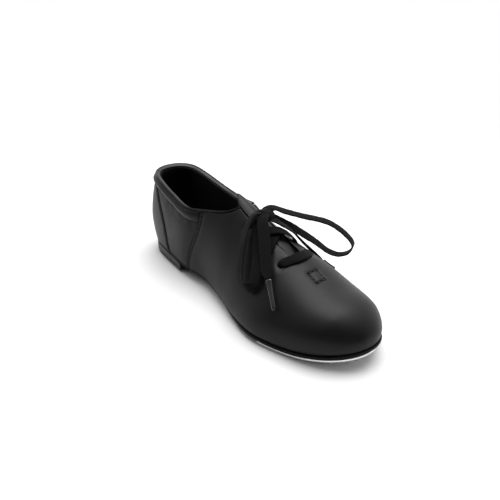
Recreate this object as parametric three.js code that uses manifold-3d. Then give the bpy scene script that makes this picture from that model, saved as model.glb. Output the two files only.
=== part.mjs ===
// A low-heeled lace-up tap shoe for the right foot, in millimetres.
// +X runs to the toe, +Y to the wearer's left, +Z up. The shoe stands on z = 0. Below, x = 0 is the
// back of the heel; at the end the whole shoe is moved so that the origin is under the heel tap.
import * as THREE from 'three';
import { LoftGeometry } from 'three/addons/geometries/LoftGeometry.js';
import { ParametricGeometry } from 'three/addons/geometries/ParametricGeometry.js';
import { mergeGeometries, mergeVertices } from 'three/addons/utils/BufferGeometryUtils.js';
import Module from 'manifold-3d';

const wasm = await Module();
wasm.setup();

// ---- driving dimensions ----
const length = 260;          // heel to toe, along the feather line where upper meets sole
const widthScale = 1;        // every half width is multiplied by this
const heightScale = 1;       // every height of the upper is multiplied by this
const gap = 0.3;             // between pieces that touch in the real shoe

const leather = 1.4;         // outer leather
const thinLeather = 0.8;     // quarter leather, skived where it goes under its neighbours
const backing = 1.0;         // puff, counter, facing stays: between leather and lining
const lining = 1.0;
const padStandOut = 1.8;     // how far the padded collar stands out of the quarter
const bindingDepth = 1.8;
const collarDepth = 11;

const tapThickness = 1.8;
const boardThickness = 0.9;
const soleThickness = 2.4;
const heelLiftThickness = 2;
const soleEdge = 1.2;        // how far the sole stands out beyond the upper
const heelTapInset = 3.4;    // how far the heel tap lies back from the heel's sides
const heelRise = 7;          // how much higher the heel seat is than the ball
const toeSpring = 10;        // how far the toe tip curls up

// Places along the shoe are written for a 260 mm shoe and follow its length.
const along = (x) => x * length / 260;
const wide = (y) => y * widthScale;
const heelBreast = along(76);      // where the heel block ends
const eyeletRows = [187, 173, 159, 145].map(along);
const eyeletSide = [15, 14.5, 13.5, 12.5].map(wide);
const eyeletRadius = 2;
const throatEnd = along(193);      // front of the gap between the facings
const throatHalf = wide(5.5);
const openingFront = along(139);   // front of the foot opening
const tongueHinge = along(198);
const tongueTop = along(123);
const heelCentre = along(34);
const tapBack = along(190);        // hollowed back edge of the toe tap

// Offsets of the layers, measured inwards from the outside of the upper.
const backingStart = leather + gap;
const liningStart = backingStart + backing + gap;
const liningEnd = liningStart + lining;
const tongueStart = liningEnd + gap + 0.2;

// Heights of the bottom, from the ground at the ball and measured from the feather line.
const ballHeight = tapThickness + boardThickness + soleThickness + 2 * gap + gap / 2;
const heelSeat = ballHeight + heelRise;

// ---- shape of the last ----
// Each line gives [place along the shoe from 0 to 1, value in mm].
const rightWidth = [[0, 59], [0.1, 44], [0.2, 37], [0.31, 34], [0.42, 29], [0.54, 34.5], [0.63, 42],
  [0.73, 49.5], [0.83, 50.5], [1, 54]];
const leftWidth = [[0, 57], [0.1, 41], [0.2, 36], [0.31, 35], [0.42, 28], [0.54, 32], [0.63, 41],
  [0.73, 50.5], [0.83, 52.5], [1, 58]];
const crownHeight = [[0, 135], [0.2, 127], [0.35, 123], [0.46, 107], [0.54, 98], [0.62, 94.5], [0.7, 92.5],
  [0.78, 90], [0.86, 90], [0.93, 101], [1, 105]];
const sideBulge = [[0, 2], [0.2, 3], [0.42, 7], [0.65, 6.3], [0.85, 6], [1, 5]];
const sideRise = [[0, 31], [0.2, 22], [0.42, 19], [0.65, 12.5], [0.85, 9], [1, 5]];
const crownRound = [[0, 23], [0.2, 20.5], [0.42, 15], [0.65, 20], [0.85, 33], [1, 20]];
// The heel's back stands furthest out low down and leans forward above.
const heelTuck = 6;
const heelLean = 11;
// [x, height above the ground] of the foot opening's rim.
const rimHeight = [[0, 84], [13, 82], [34, 78.5], [57, 72], [83, 66.2], [109, 69], [126, 72.8], [135, 79]];

const curve = (table) => (at) => {
  // A smooth curve through the table's points, with slopes taken from each point's neighbours.
  const last = table.length - 1;
  const slope = (i) => {
    const a = table[Math.max(i - 1, 0)];
    const b = table[Math.min(i + 1, last)];
    return (b[1] - a[1]) / (b[0] - a[0]);
  };
  let i = 0;
  while (i < last - 1 && at > table[i + 1][0]) i += 1;
  const [x0, y0] = table[i];
  const [x1, y1] = table[i + 1];
  const span = x1 - x0;
  const t = THREE.MathUtils.clamp((at - x0) / span, 0, 1);
  const t2 = t * t;
  const t3 = t2 * t;
  return (2 * t3 - 3 * t2 + 1) * y0 + (t3 - 2 * t2 + t) * span * slope(i)
    + (3 * t2 - 2 * t3) * y1 + (t3 - t2) * span * slope(i + 1);
};

const halfWidth = { right: curve(rightWidth), left: curve(leftWidth) };
const crown = curve(crownHeight);
const bulge = curve(sideBulge);
const rise = curve(sideRise);
const round = curve(crownRound);
const rim = curve(rimHeight);
const flatFrom = 0.62;
const flatTo = 0.8;
const featherCurve = curve([[0, heelSeat + 0.6], [0.18, heelSeat], [0.3, heelSeat - 1.6],
  [0.45, ballHeight + heelRise * 0.38], [0.56, ballHeight + 0.4], [flatFrom, ballHeight]]);

const featherHeight = (x) => {
  // The line where upper meets sole: heel seat, arch, flat ball, then the toe's spring.
  const share = x / length;
  if (share < flatFrom) return featherCurve(share);
  return ballHeight + toeSpring * Math.max(0, (share - flatTo) / (1 - flatTo)) ** 1.8;
};

const topline = (x) => ballHeight + (rim(x * 260 / length) - ballHeight) * heightScale;

const lastPoint = (u, t, side) => {
  // u runs from heel (0) to toe (1); t from the feather line (0) to the crown (1).
  const share = (1 - Math.cos(Math.PI * u)) / 2;
  const half = wide(halfWidth[side < 0 ? 'right' : 'left'](share)) * Math.sin(Math.PI * u);
  const high = crown(share) * Math.sqrt(1 - share) * heightScale;
  const out = bulge(share) * Math.min(1, half / 22);
  const low = Math.min(rise(share), high * 0.6);
  const soft = wide(round(share)) * Math.min(1, half / 28);
  const w = 1 - t;
  const y = w ** 3 * half + 3 * w * w * t * (half + out) + 3 * w * t * t * soft;
  const z = 3 * w * w * t * low + 3 * w * t * t * high + t ** 3 * high;
  const up = z / 60 / heightScale;
  const tuck = heelTuck * Math.max(0, 1 - up / 0.45) ** 2;
  const lean = heelLean * THREE.MathUtils.clamp((up - 0.35) / 0.65, 0, 2) ** 1.6;
  const fade = Math.max(0, 1 - share / 0.4) ** 1.5;
  return new THREE.Vector3(share * length + (tuck + lean) * fade, side * y, featherHeight(share * length) + z);
};

const lastNormal = (u, t, side) => {
  // Points out of the shoe.
  if (u > 0.9999) return new THREE.Vector3(1, 0, 0);
  const step = 1e-4;
  const uLow = Math.max(u - step, 0);
  const tLow = Math.max(t - step, 0);
  const across = lastPoint(u, Math.min(t + step, 1), side).sub(lastPoint(u, tLow, side));
  if (u < 1e-6) return new THREE.Vector3(-across.z, 0, across.x).normalize();
  const alongShoe = lastPoint(Math.min(u + step, 1), t, side).sub(lastPoint(uLow, t, side));
  return alongShoe.cross(across).multiplyScalar(-side).normalize();
};

const placeOnLast = (x, y, side) => {
  // The u and t of the point whose x and distance from the centre line are given.
  let u = Math.acos(1 - 2 * x / length) / Math.PI;
  let t = 0.8;
  for (let pass = 0; pass < 6; pass += 1) {
    let low = 0.25;
    let high = 1;
    for (let k = 0; k < 30; k += 1) {
      t = (low + high) / 2;
      if (Math.abs(lastPoint(u, t, side).y) > y) low = t;
      else high = t;
    }
    u += (x - lastPoint(u, t, side).x) / length / 3;
  }
  return { u, t };
};

// ---- solids ----
const toSolid = (geometry) => {
  // A closed three.js geometry becomes a solid that can be cut and joined.
  const bare = new THREE.BufferGeometry().copy(geometry);
  bare.deleteAttribute('normal');
  bare.deleteAttribute('uv');
  const merged = mergeVertices(bare, 1e-4);
  const corners = merged.index.array;
  const kept = [];
  for (let i = 0; i < corners.length; i += 3) {
    const [a, b, c] = [corners[i], corners[i + 1], corners[i + 2]];
    if (a !== b && b !== c && c !== a) kept.push(a, b, c);
  }
  const mesh = new wasm.Mesh({
    numProp: 3,
    vertProperties: new Float32Array(merged.attributes.position.array),
    triVerts: new Uint32Array(kept),
  });
  return new wasm.Manifold(mesh);
};

const toGeometry = (solid) => {
  const mesh = solid.getMesh();
  const geometry = new THREE.BufferGeometry();
  geometry.setAttribute('position', new THREE.BufferAttribute(mesh.vertProperties, 3));
  geometry.setIndex(new THREE.BufferAttribute(mesh.triVerts, 1));
  geometry.computeVertexNormals();
  return geometry;
};

const group = new THREE.Group();
const add = (name, solid, look) => {
  const mesh = new THREE.Mesh(toGeometry(solid), new THREE.MeshStandardMaterial(look));
  mesh.name = name;
  group.add(mesh);
};

const shell = (outer, inner, { nu = 20, nt = 5 } = {}) => {
  // A layer of the upper between two depths, from the heel to the toe and over the crown.
  // Above the foot opening it is thin: that part is always cut away.
  const point = (u, v, depthAt) => {
    // v runs from the right feather line (0) over the crown (0.5) to the left one (1).
    const side = v <= 0.5 ? -1 : 1;
    const t = 1 - Math.abs(2 * v - 1);
    const base = lastPoint(u, t, side);
    const lid = base.x < seamX(60) && base.z > topline(base.x) + 5;
    const depth = (typeof depthAt === 'function' ? depthAt(u) : depthAt) * (lid ? 0.2 : 1);
    const moved = base.clone().addScaledVector(lastNormal(u, t, side), -depth);
    if (v === 0 || v === 1) moved.z = featherHeight(moved.x) + gap / 2;
    if (v === 0.5) moved.y = 0;
    return moved;
  };
  const sheet = (place, across, inside) => {
    const surface = new ParametricGeometry((v, u, target) => target.copy(place(u, v)), across, nu);
    if (inside) surface.setIndex(Array.from(surface.index.array).reverse());
    return surface;
  };
  const edge = (v) => (u, k) => point(u, v, outer).lerp(point(u, v, inner), k);
  return toSolid(mergeGeometries([
    sheet((u, v) => point(u, v, outer), 2 * nt, true),
    sheet((u, v) => point(u, v, inner), 2 * nt, false),
    sheet(edge(0), 1, false),
    sheet(edge(1), 1, true),
  ]));
};

const sideProfile = (points, halfDepth = 90) => {
  // A prism across the shoe from an outline drawn in x and z.
  const shape = new THREE.Shape(points.map(([x, z]) => new THREE.Vector2(x, z)));
  const geometry = new THREE.ExtrudeGeometry(shape, { depth: 2 * halfDepth, bevelEnabled: false });
  geometry.rotateX(Math.PI / 2);
  geometry.translate(0, halfDepth, 0);
  return toSolid(geometry);
};

const planProfile = (points, low = -20, high = 150) => {
  // A prism up through the shoe from an outline drawn in x and y.
  const shape = new THREE.Shape(points.map(([x, y]) => new THREE.Vector2(x, y)));
  const geometry = new THREE.ExtrudeGeometry(shape, { depth: high - low, bevelEnabled: false });
  geometry.translate(0, 0, low);
  return toSolid(geometry);
};

const range = (from, to, count) => Array.from({ length: count + 1 }, (_, i) => from + (to - from) * i / count);

const aboveTopline = (drop) => sideProfile([
  ...range(-12, openingFront - 4, 14).map((x) => [x, topline(x) - drop]),
  [openingFront, topline(openingFront - 4) + 20],
  [openingFront, 170],
  [-12, 170],
]);

// [height, x] of the side seam, and of the back panel's front edge.
const seamLine = curve([[6, 84], [13, 85.5], [33, 91], [48, 96.5], [72, 98.5], [95, 99]]);
const backLine = curve([[6, 56], [12, 54], [38, 47], [55, 38], [72, 30], [95, 24]]);
const seamX = (z) => along(seamLine(z));
const backEdgeX = (z) => along(backLine(z));
const aheadOf = (line, shift) => sideProfile([
  ...range(6, 95, 7).map((z) => [line(z) + shift, z - (z === 6 ? 20 : 0)]),
  [400, 150],
  [400, -20],
]);
const behind = (line, shift) => sideProfile([
  [-40, -20],
  ...range(6, 95, 7).map((z) => [line(z) + shift, z - (z === 6 ? 20 : 0)]),
  [-40, 150],
]);
const belowGroove = (shift) => sideProfile([
  [-40, -20],
  [130, -20],
  ...range(130, -12, 13).map((x) => [x, topline(x) - collarDepth + shift]),
]);

const throatSlot = (grow) => {
  // The gap between the two facings: round at the front, a little wider to the back.
  const half = throatHalf + grow;
  const front = range(-Math.PI / 2, Math.PI / 2, 8)
    .map((a) => [throatEnd - throatHalf + half * Math.cos(a), half * Math.sin(a)]);
  return planProfile([[openingFront - 30, -half - 3], ...front, [openingFront - 30, half + 3]], 25, 150);
};

const eyeletHoles = (radius) => eyeletRows.flatMap((x, row) => [-1, 1].map((side) => {
  const { u, t } = placeOnLast(x, eyeletSide[row], side);
  const geometry = new THREE.CylinderGeometry(radius, radius, 14, 8);
  const turn = new THREE.Quaternion().setFromUnitVectors(new THREE.Vector3(0, 1, 0), lastNormal(u, t, side));
  geometry.applyQuaternion(turn);
  const at = lastPoint(u, t, side);
  geometry.translate(at.x, at.y, at.z);
  return toSolid(geometry);
})).reduce((a, b) => a.add(b));

const pad = (u) => {
  // The padded collar's height over the quarter, fading out at the side seams.
  const x = (1 - Math.cos(Math.PI * u)) / 2 * length;
  return padStandOut * (1 - THREE.MathUtils.smoothstep(x, seamX(60) - 14, seamX(60) + 4));
};

const black = { color: 0x1b1b1d, roughness: 0.35, metalness: 0 };
const blackCloth = { color: 0x141416, roughness: 0.9, metalness: 0 };
const blackLining = { color: 0x3f3d3b, roughness: 0.85, metalness: 0 };
const board = { color: 0x6b5a48, roughness: 0.9, metalness: 0 };
const foam = { color: 0xd8cfa8, roughness: 0.95, metalness: 0 };
const soleBlack = { color: 0x161617, roughness: 0.6, metalness: 0 };
const stack = { color: 0x2a2a2b, roughness: 0.7, metalness: 0 };
const rubber = { color: 0x111112, roughness: 0.8, metalness: 0 };
const aluminium = { color: 0xc9cbce, roughness: 0.28, metalness: 1 };
const steel = { color: 0x8d9095, roughness: 0.35, metalness: 1 };

// ---- upper ----
const outerSkin = shell(0, leather);
const edgeCut = aboveTopline(bindingDepth + gap);
const slot = throatSlot(0);
const holes = eyeletHoles(eyeletRadius);
const frontPart = aheadOf(seamX, gap / 2);
const rearPart = behind(seamX, -gap / 2);

add('vamp', outerSkin.intersect(frontPart).subtract(edgeCut).subtract(slot).subtract(holes), black);

const quarters = shell(leather - thinLeather, leather)
  .intersect(rearPart)
  .intersect(aheadOf(backEdgeX, gap / 2))
  .intersect(belowGroove(-gap));
const rightSide = planProfile([[-40, -120], [400, -120], [400, -0.01], [-40, -0.01]]);
add('quarter_right', quarters.intersect(rightSide), black);
add('quarter_left', quarters.subtract(rightSide), black);
add('back_panel', outerSkin.intersect(behind(backEdgeX, -gap / 2)).intersect(belowGroove(-gap)), black);

const collarZone = rearPart.subtract(belowGroove(0)).subtract(edgeCut);
const outerPad = (u) => -pad(u);
const innerPad = (u) => 1.1 - pad(u);
add('collar_leather', shell(outerPad, innerPad).intersect(collarZone), black);
add('collar_foam', shell((u) => innerPad(u) + gap, liningStart - gap).intersect(collarZone), foam);

const bindingBand = aboveTopline(bindingDepth).subtract(aboveTopline(0));
add('topline_binding', shell(outerPad, liningEnd).intersect(bindingBand)
  .intersect(sideProfile([[-40, -20], [openingFront - 5, -20], [openingFront - 5, 150], [-40, 150]])), black);

const liningSkin = shell(liningStart, liningEnd);
add('vamp_lining', liningSkin.intersect(frontPart).subtract(edgeCut).subtract(slot).subtract(holes), blackLining);
add('quarter_lining', liningSkin.intersect(rearPart).subtract(edgeCut), blackLining);

const backingSkin = shell(backingStart, backingStart + backing);
const toeCapX = along(222);
const toeCap = sideProfile([[toeCapX, -20], [400, -20], [400, 150], [toeCapX + 8, 150]]);
add('toe_puff', backingSkin.intersect(toeCap), board);
const counterProfile = sideProfile([[-40, -20], [along(66), -20], [along(52), 40], [along(40), 52], [-40, 60]]);
add('heel_counter', backingSkin.intersect(counterProfile).intersect(belowGroove(-gap)), board);
for (const [side, name] of [[-1, 'right'], [1, 'left']]) {
  const stayPlan = planProfile([
    [openingFront - 10, 0], [throatEnd - throatHalf, 0], [throatEnd, wide(12) * side],
    [throatEnd - 2, wide(23) * side], [openingFront - 10, wide(24) * side],
  ], 30, 150);
  add(`facing_stay_${name}`, backingSkin.intersect(stayPlan).subtract(slot).subtract(edgeCut).subtract(holes),
    blackCloth);
}

const tonguePlan = (inset) => planProfile([
  [tongueTop + inset, -wide(21) + inset],
  [tongueHinge - 6, -wide(15) + inset],
  [tongueHinge - inset, -wide(9)],
  [tongueHinge - inset, wide(9)],
  [tongueHinge - 6, wide(15) - inset],
  [tongueTop + inset, wide(21) - inset],
], 30, 150);
add('tongue', shell(tongueStart, tongueStart + leather).intersect(tonguePlan(0)), black);
add('tongue_lining', shell(tongueStart + leather + gap, tongueStart + leather + gap + lining)
  .intersect(tonguePlan(1)), blackLining);

// ---- bottom ----
const outline = (u, side, inset) => {
  // A point of the sole's outline, moved inwards by the inset.
  const at = lastPoint(u, 0, side);
  const step = 1e-4;
  const ahead = lastPoint(Math.min(u + step, 1), 0, side);
  const back = lastPoint(Math.max(u - step, 0), 0, side);
  const tangent = new THREE.Vector2(ahead.x - back.x, ahead.y - back.y);
  if (u < 1e-6) tangent.set(0, 1);
  if (u > 1 - 1e-6) tangent.set(0, -1);
  tangent.normalize();
  const inward = side < 0 ? new THREE.Vector2(-tangent.y, tangent.x) : new THREE.Vector2(tangent.y, -tangent.x);
  if (u < 1e-6) inward.set(1, 0);
  if (u > 1 - 1e-6) inward.set(-1, 0);
  return new THREE.Vector2(at.x, at.y).addScaledVector(inward, inset);
};

const slab = (inset, top, bottom, { nu = 20, across = 2 } = {}) => {
  // A sheet with the sole's outline; top and bottom give its heights at x.
  const sections = [];
  for (let i = 0; i <= nu; i += 1) {
    const u = i / nu;
    const right = outline(u, -1, inset);
    const left = outline(u, 1, inset);
    const ring = [];
    for (let j = 0; j <= across; j += 1) {
      const p = right.clone().lerp(left, j / across);
      ring.push(new THREE.Vector3(p.x, p.y, top(p.x)));
    }
    for (let j = across; j >= 0; j -= 1) {
      const p = right.clone().lerp(left, j / across);
      ring.push(new THREE.Vector3(p.x, p.y, bottom(p.x)));
    }
    sections.push(ring.reverse());
  }
  return toSolid(new LoftGeometry(sections));
};
const over = (height) => (x) => featherHeight(x) + height;
const block = (x0, x1, y0, y1, z0, z1) => {
  const geometry = new THREE.BoxGeometry(x1 - x0, y1 - y0, z1 - z0);
  geometry.translate((x0 + x1) / 2, (y0 + y1) / 2, (z0 + z1) / 2);
  return toSolid(geometry);
};
const between = (x0, x1) => block(x0, x1, -120, 120, -20, 200);

const screwShank = 1.4;
const screwHead = 3.2;
const screwHole = screwShank + gap;
const cylinder = (radius, x, y, z0, z1, sides = 8) => {
  const geometry = new THREE.CylinderGeometry(radius, radius, z1 - z0, sides);
  geometry.rotateX(Math.PI / 2);
  geometry.translate(x, y, (z0 + z1) / 2);
  return toSolid(geometry);
};

const padThickness = 1.3;
const insoleInset = liningEnd + gap + 0.2;
const fillerTop = gap / 2 + 1.6;
const insoleBottom = fillerTop + gap;
const insoleTop = insoleBottom + 2;
const heelPadEnd = along(72);
const heelPadThickness = 2;
const sockThickness = 1;
const onPad = (x) => 1 - THREE.MathUtils.smoothstep(x, heelPadEnd, heelPadEnd + 12);
const sockBottom = (x) => featherHeight(x) + insoleTop + gap + (heelPadThickness + gap) * onPad(x);
const soleTop = -gap / 2;
const soleBottom = soleTop - soleThickness;

const nailSpots = [[24, 0], [50, -14], [50, 14]].map(([x, y]) => [along(x), wide(y)]);
const heelBlockTop = soleBottom - gap;
const heelBlockBottom = tapThickness + heelLiftThickness + 2 * gap;
const nailTop = featherHeight(heelCentre) + insoleTop - 0.8;
const nailRadius = 0.9;
const nailHoles = nailSpots.map(([x, y]) => cylinder(nailRadius + gap, x, y, heelBlockBottom + 1.5, 60))
  .reduce((a, b) => a.add(b));

const insole = slab(insoleInset, over(insoleTop), over(insoleBottom));
add('insole_board', insole.subtract(nailHoles), board);
const heelPad = slab(insoleInset + 6, over(insoleTop + gap + heelPadThickness), over(insoleTop + gap));
add('heel_pad', heelPad.intersect(between(-20, heelPadEnd - 8)), foam);
add('sock_liner', slab(insoleInset + 0.6, (x) => sockBottom(x) + sockThickness, sockBottom), blackLining);
const underInsole = slab(insoleInset + 2, over(fillerTop), over(gap / 2));
add('shank', underInsole.intersect(block(along(60), along(158), -7, 7, -20, 60)), steel);
add('forefoot_filler', underInsole.intersect(between(along(160), along(245))), board);
add('heel_filler', underInsole.intersect(between(-20, along(58))).subtract(nailHoles), board);

const toeScrews = [[243, 0], [207, -33], [207, 35]].map(([x, y]) => [along(x), wide(y)]);
const screwBottom = (x) => featherHeight(x) + soleBottom - 2 * gap - boardThickness - tapThickness;
const toeScrewHoles = toeScrews.map(([x, y]) => cylinder(screwHole, x, y, -20, featherHeight(x) - 0.8))
  .reduce((a, b) => a.add(b));
const sole = slab(-soleEdge, over(soleTop), over(soleBottom), { across: 4 });
add('outsole', sole.subtract(toeScrewHoles).subtract(nailHoles), soleBlack);

// The tap covers the tread from behind the ball to the toe, with a hollowed back edge.
const tapPlan = (back, inset) => {
  const arc = range(-1, 1, 8).map((k) => [back + 7 * (1 - k * k) + inset, 70 * k]);
  return planProfile([...arc.reverse(), [400, -70], [400, 70]]);
};
const boardInset = 0.2;      // from the feather line, as for the tap and the heel
const tapInset = 0.6;
const heelInset = 0.2;
const boardSlab = slab(boardInset, over(soleBottom - gap), over(soleBottom - gap - boardThickness));
add('tap_board', boardSlab.intersect(tapPlan(tapBack - 2, 0)).subtract(toeScrewHoles), soleBlack);
const tapTop = soleBottom - 2 * gap - boardThickness;
const tapSlab = slab(tapInset, over(tapTop), over(tapTop - tapThickness));
const screwSeat = (x, y, z, up) => {
  // A screw that stands head down: the head is flush with the tap's ground face.
  const profile = [[0, 0.15], [screwHead, 0.15], [screwShank, 1.7], [screwShank, up], [0, up + 1.2]]
    .map(([r, h]) => new THREE.Vector2(r, h));
  const geometry = new THREE.LatheGeometry(profile, 8);
  geometry.rotateX(Math.PI / 2);
  geometry.translate(x, y, z);
  return toSolid(geometry);
};
const seatCut = (x, y, z) => {
  const profile = [[0, -3], [screwHead + gap, -3], [screwHead + gap, 0.15], [screwHole, 1.7], [screwHole, 3], [0, 3]]
    .map(([r, h]) => new THREE.Vector2(r, h));
  const geometry = new THREE.LatheGeometry(profile, 8);
  geometry.rotateX(Math.PI / 2);
  geometry.translate(x, y, z);
  return toSolid(geometry);
};
const toeSeats = toeScrews.map(([x, y]) => seatCut(x, y, screwBottom(x))).reduce((a, b) => a.add(b));
add('toe_tap', tapSlab.intersect(tapPlan(tapBack, 0)).subtract(toeSeats).subtract(toeScrewHoles), aluminium);
toeScrews.forEach(([x, y], i) => add(`toe_tap_screw_${i + 1}`, screwSeat(x, y, screwBottom(x), 3), steel));

const padBoard = slab(2.5, over(soleBottom - gap), over(soleBottom - gap - padThickness));
add('sole_pad', padBoard.intersect(between(along(118), 400)).subtract(tapPlan(tapBack - 2 - gap, 0)), rubber);

// ---- heel ----
const heelPlan = (inset) => {
  // The heel's outline: the sole's, cut off by a slightly hollow breast.
  const breast = range(-1, 1, 6).map((k) => [heelBreast - 3 * (1 - k * k) - inset, 60 * k]);
  return planProfile([[-40, -60], ...breast, [-40, 60]], -20, 150);
};
const heelSlab = (inset, top, bottom) => slab(inset, top, bottom, { across: 2 }).intersect(heelPlan(inset));
const level = (z) => () => z;
const heelScrews = [[17, 0], [52, -19], [52, 19]].map(([x, y]) => [along(x), wide(y)]);
const heelScrewHoles = heelScrews.map(([x, y]) => cylinder(screwHole, x, y, -20, 11)).reduce((a, b) => a.add(b));
add('heel_block', heelSlab(heelInset, over(heelBlockTop), level(heelBlockBottom)).subtract(heelScrewHoles)
  .subtract(nailHoles), stack);
add('heel_lift', heelSlab(heelInset, level(heelBlockBottom - gap), level(tapThickness + gap)).subtract(heelScrewHoles),
  rubber);
const heelSeats = heelScrews.map(([x, y]) => seatCut(x, y, 0)).reduce((a, b) => a.add(b));
const heelTapPlate = heelSlab(heelTapInset, level(tapThickness), level(0));
add('heel_tap', heelTapPlate.subtract(heelSeats).subtract(heelScrewHoles), aluminium);
heelScrews.forEach(([x, y], i) => add(`heel_tap_screw_${i + 1}`, screwSeat(x, y, 0, 9), steel));
nailSpots.forEach(([x, y], i) => {
  add(`heel_nail_${i + 1}`, cylinder(nailRadius, x, y, heelBlockBottom + 2, nailTop), steel);
});

// ---- laces ----
const laceWidth = 9;
const laceThickness = 1.3;
const lace = (route, width = laceWidth, thickness = laceThickness, steps = 18) => {
  // A flat lace along a list of [x, y, z, face direction x, y, z]: the last three say which way
  // its flat side faces.
  const through = (points) => new THREE.CatmullRomCurve3(points, false, 'centripetal');
  const line = through(route.map(([x, y, z]) => new THREE.Vector3(x, y, z)));
  const facing = through(route.map((p) => new THREE.Vector3(p[3], p[4], p[5])));
  const sections = range(0, 1, steps).map((k) => {
    const at = line.getPoint(k);
    const ahead = line.getTangent(k);
    const flat = facing.getPoint(k).normalize();
    const sideways = new THREE.Vector3().crossVectors(ahead, flat).normalize();
    const face = new THREE.Vector3().crossVectors(sideways, ahead).normalize();
    return range(0, 7, 7).map((i) => {
      const angle = (i + 0.5) / 8 * 2 * Math.PI;
      const across = Math.sign(Math.cos(angle)) * Math.abs(Math.cos(angle)) ** 0.5 * width / 2;
      const raised = Math.sin(angle) * thickness / 2;
      return at.clone().addScaledVector(sideways, across).addScaledVector(face, raised);
    }).reverse();
  });
  return toSolid(new LoftGeometry(sections, { capStart: true, capEnd: true }));
};

const laceBlack = { color: 0x17171a, roughness: 0.85, metalness: 0 };
const onUpper = (x, y, lift) => {
  // A lace point over the upper at x and y, lifted off it, facing outwards.
  const side = y < 0 ? -1 : 1;
  const { u, t } = placeOnLast(x, Math.max(Math.abs(y), 0.05), side);
  const normal = lastNormal(u, t, side);
  const at = lastPoint(u, t, side).addScaledVector(normal, lift);
  return [at.x, y, at.z, normal.x, normal.y, normal.z];
};
const [row1, row2, row3, row4] = eyeletRows;
const [side1, side2, side3, side4] = eyeletSide;
const lift1 = gap + laceThickness / 2 + 0.1;
const lift2 = lift1 + laceThickness + gap + 1.4;

add('lace_bar', lace([onUpper(row1, -side1, lift1), onUpper(row1 + 3, -side1 / 2, lift1 + 0.6),
  onUpper(row1 + 4, 0, lift1 + 0.8), onUpper(row1 + 3, side1 / 2, lift1 + 0.6),
  onUpper(row1, side1, lift1)], 7.5, laceThickness, 10), laceBlack);
add('lace_cross_low', lace([onUpper(row2, -side2, lift1 + 0.9), onUpper(row2 - 4, -side2 / 2, lift1 + 0.9),
  onUpper((row2 + row3) / 2, 0, lift1 + 0.7), onUpper(row3 + 4, side3 / 2, lift1 + 0.9),
  onUpper(row3, side3, lift1 + 0.9)], 7, laceThickness, 8), laceBlack);
add('lace_cross_high', lace([onUpper(row3, -side3, lift1 + 0.2), onUpper(row3 + 3, -side3 / 2, lift2),
  onUpper((row2 + row3) / 2, 0, lift2 + 0.3), onUpper(row2 - 3, side2 / 2, lift2), onUpper(row2, side2, lift1 + 0.2)],
7, laceThickness, 10), laceBlack);
add('lace_riser_right', lace([onUpper(row4, -side4, lift1 + 1.2), onUpper(row4 + 2, -side4 / 2, lift1 + 0.9),
  onUpper(row4 + 4, -3.6, lift1 + 0.9)], 7, laceThickness, 6), laceBlack);
add('lace_riser_left', lace([onUpper(row4, side4, lift1 + 1.2), onUpper(row4 + 2, side4 / 2, lift1 + 0.9),
  onUpper(row4 + 4, 3.6, lift1 + 0.9)], 7, laceThickness, 6), laceBlack);

const knotAt = onUpper(along(151), 0, 6.2);
const knot = new THREE.SphereGeometry(1, 12, 7);
knot.scale(6.5, 7.5, 3.3);
knot.rotateY(0.42);
knot.translate(knotAt[0], 0, knotAt[2]);
add('lace_knot', toSolid(knot), laceBlack);

const hang = (points) => points.map(([x, y, z, a, b, c]) => [along(x), wide(y), z * heightScale, a, b, c]);
add('lace_loop_right', lace(hang([
  [150.5, -8.8, 75.8, -0.4, -0.4, 1],
  [151.2, -14.4, 71.6, -0.3, -0.8, 0.6],
  [153.6, -19.6, 65.5, -0.25, -1, 0.5],
  [156.8, -24.6, 59.5, -0.2, -1, 0.45],
  [161.5, -30.6, 49.5, -0.2, -1, 0.4],
  [165, -34, 43.5, -0.2, -1, 0.3],
  [169, -36.8, 38.4, -0.2, -1, 0],
  [174, -38.2, 35.8, -0.1, -0.9, -0.3],
  [179, -38.2, 36.6, 0.2, -0.9, 0],
  [181.8, -36, 39.4, 0.4, -0.8, 0.3],
  [179.6, -31.8, 44.2, 0.4, -0.8, 0.5],
  [174.5, -26.2, 50.2, 0.3, -0.8, 0.6],
  [168.3, -20.6, 56.8, 0.2, -0.7, 0.7],
  [161.5, -14.8, 64.2, 0.2, -0.6, 0.8],
  [156, -10.2, 70, 0.1, -0.5, 0.9],
]), 8, laceThickness, 18), laceBlack);
add('lace_end_right', lace(hang([
  [158.6, -7.6, 74.2, 0.3, -0.5, 0.9],
  [168.8, -14.9, 65.6, 0.3, -0.6, 0.8],
  [176.2, -20.4, 58.8, 0.25, -0.65, 0.8],
  [182.8, -25, 52.4, 0.2, -0.65, 0.75],
  [190, -29.4, 46.2, 0.2, -0.65, 0.7],
]), 9, laceThickness, 7), laceBlack);
add('lace_loop_left', lace(hang([
  [152, 8.5, 77.5, 0.27, 0.19, 0.94],
  [158.5, 16.5, 74, 0.34, 0.14, 0.93],
  [164.5, 27, 70, 0.34, 0.16, 0.93],
  [170, 38.5, 66, 0.35, 0.16, 0.92],
  [177, 48.5, 61.5, 0.46, 0.18, 0.87],
  [186, 56, 54, 0.61, 0.27, 0.74],
  [192, 60, 45, 0.88, 0.4, 0.27],
  [189.5, 59.5, 37.5, 0.65, 0.39, -0.65],
  [182, 56.5, 33, 0.06, 0.08, -1],
  [175.5, 51.5, 36, -0.53, -0.25, -0.81],
  [170, 44, 44.5, -0.67, -0.35, -0.66],
  [166.5, 34, 54.5, -0.66, -0.39, -0.64],
  [163.5, 23, 64, -0.57, -0.37, -0.73],
  [159, 12, 71.5, -0.47, -0.36, -0.81],
]), 8, laceThickness, 20), laceBlack);
add('lace_end_left', lace([[163, 7, 7.4], [169, 14, 7], [174.5, 22, 4.6], [179, 30, 3.4], [182, 35.5, 4]]
  .map(([x, y, lift]) => onUpper(along(x), wide(y), lift)), 9, laceThickness, 6), laceBlack);

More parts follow.
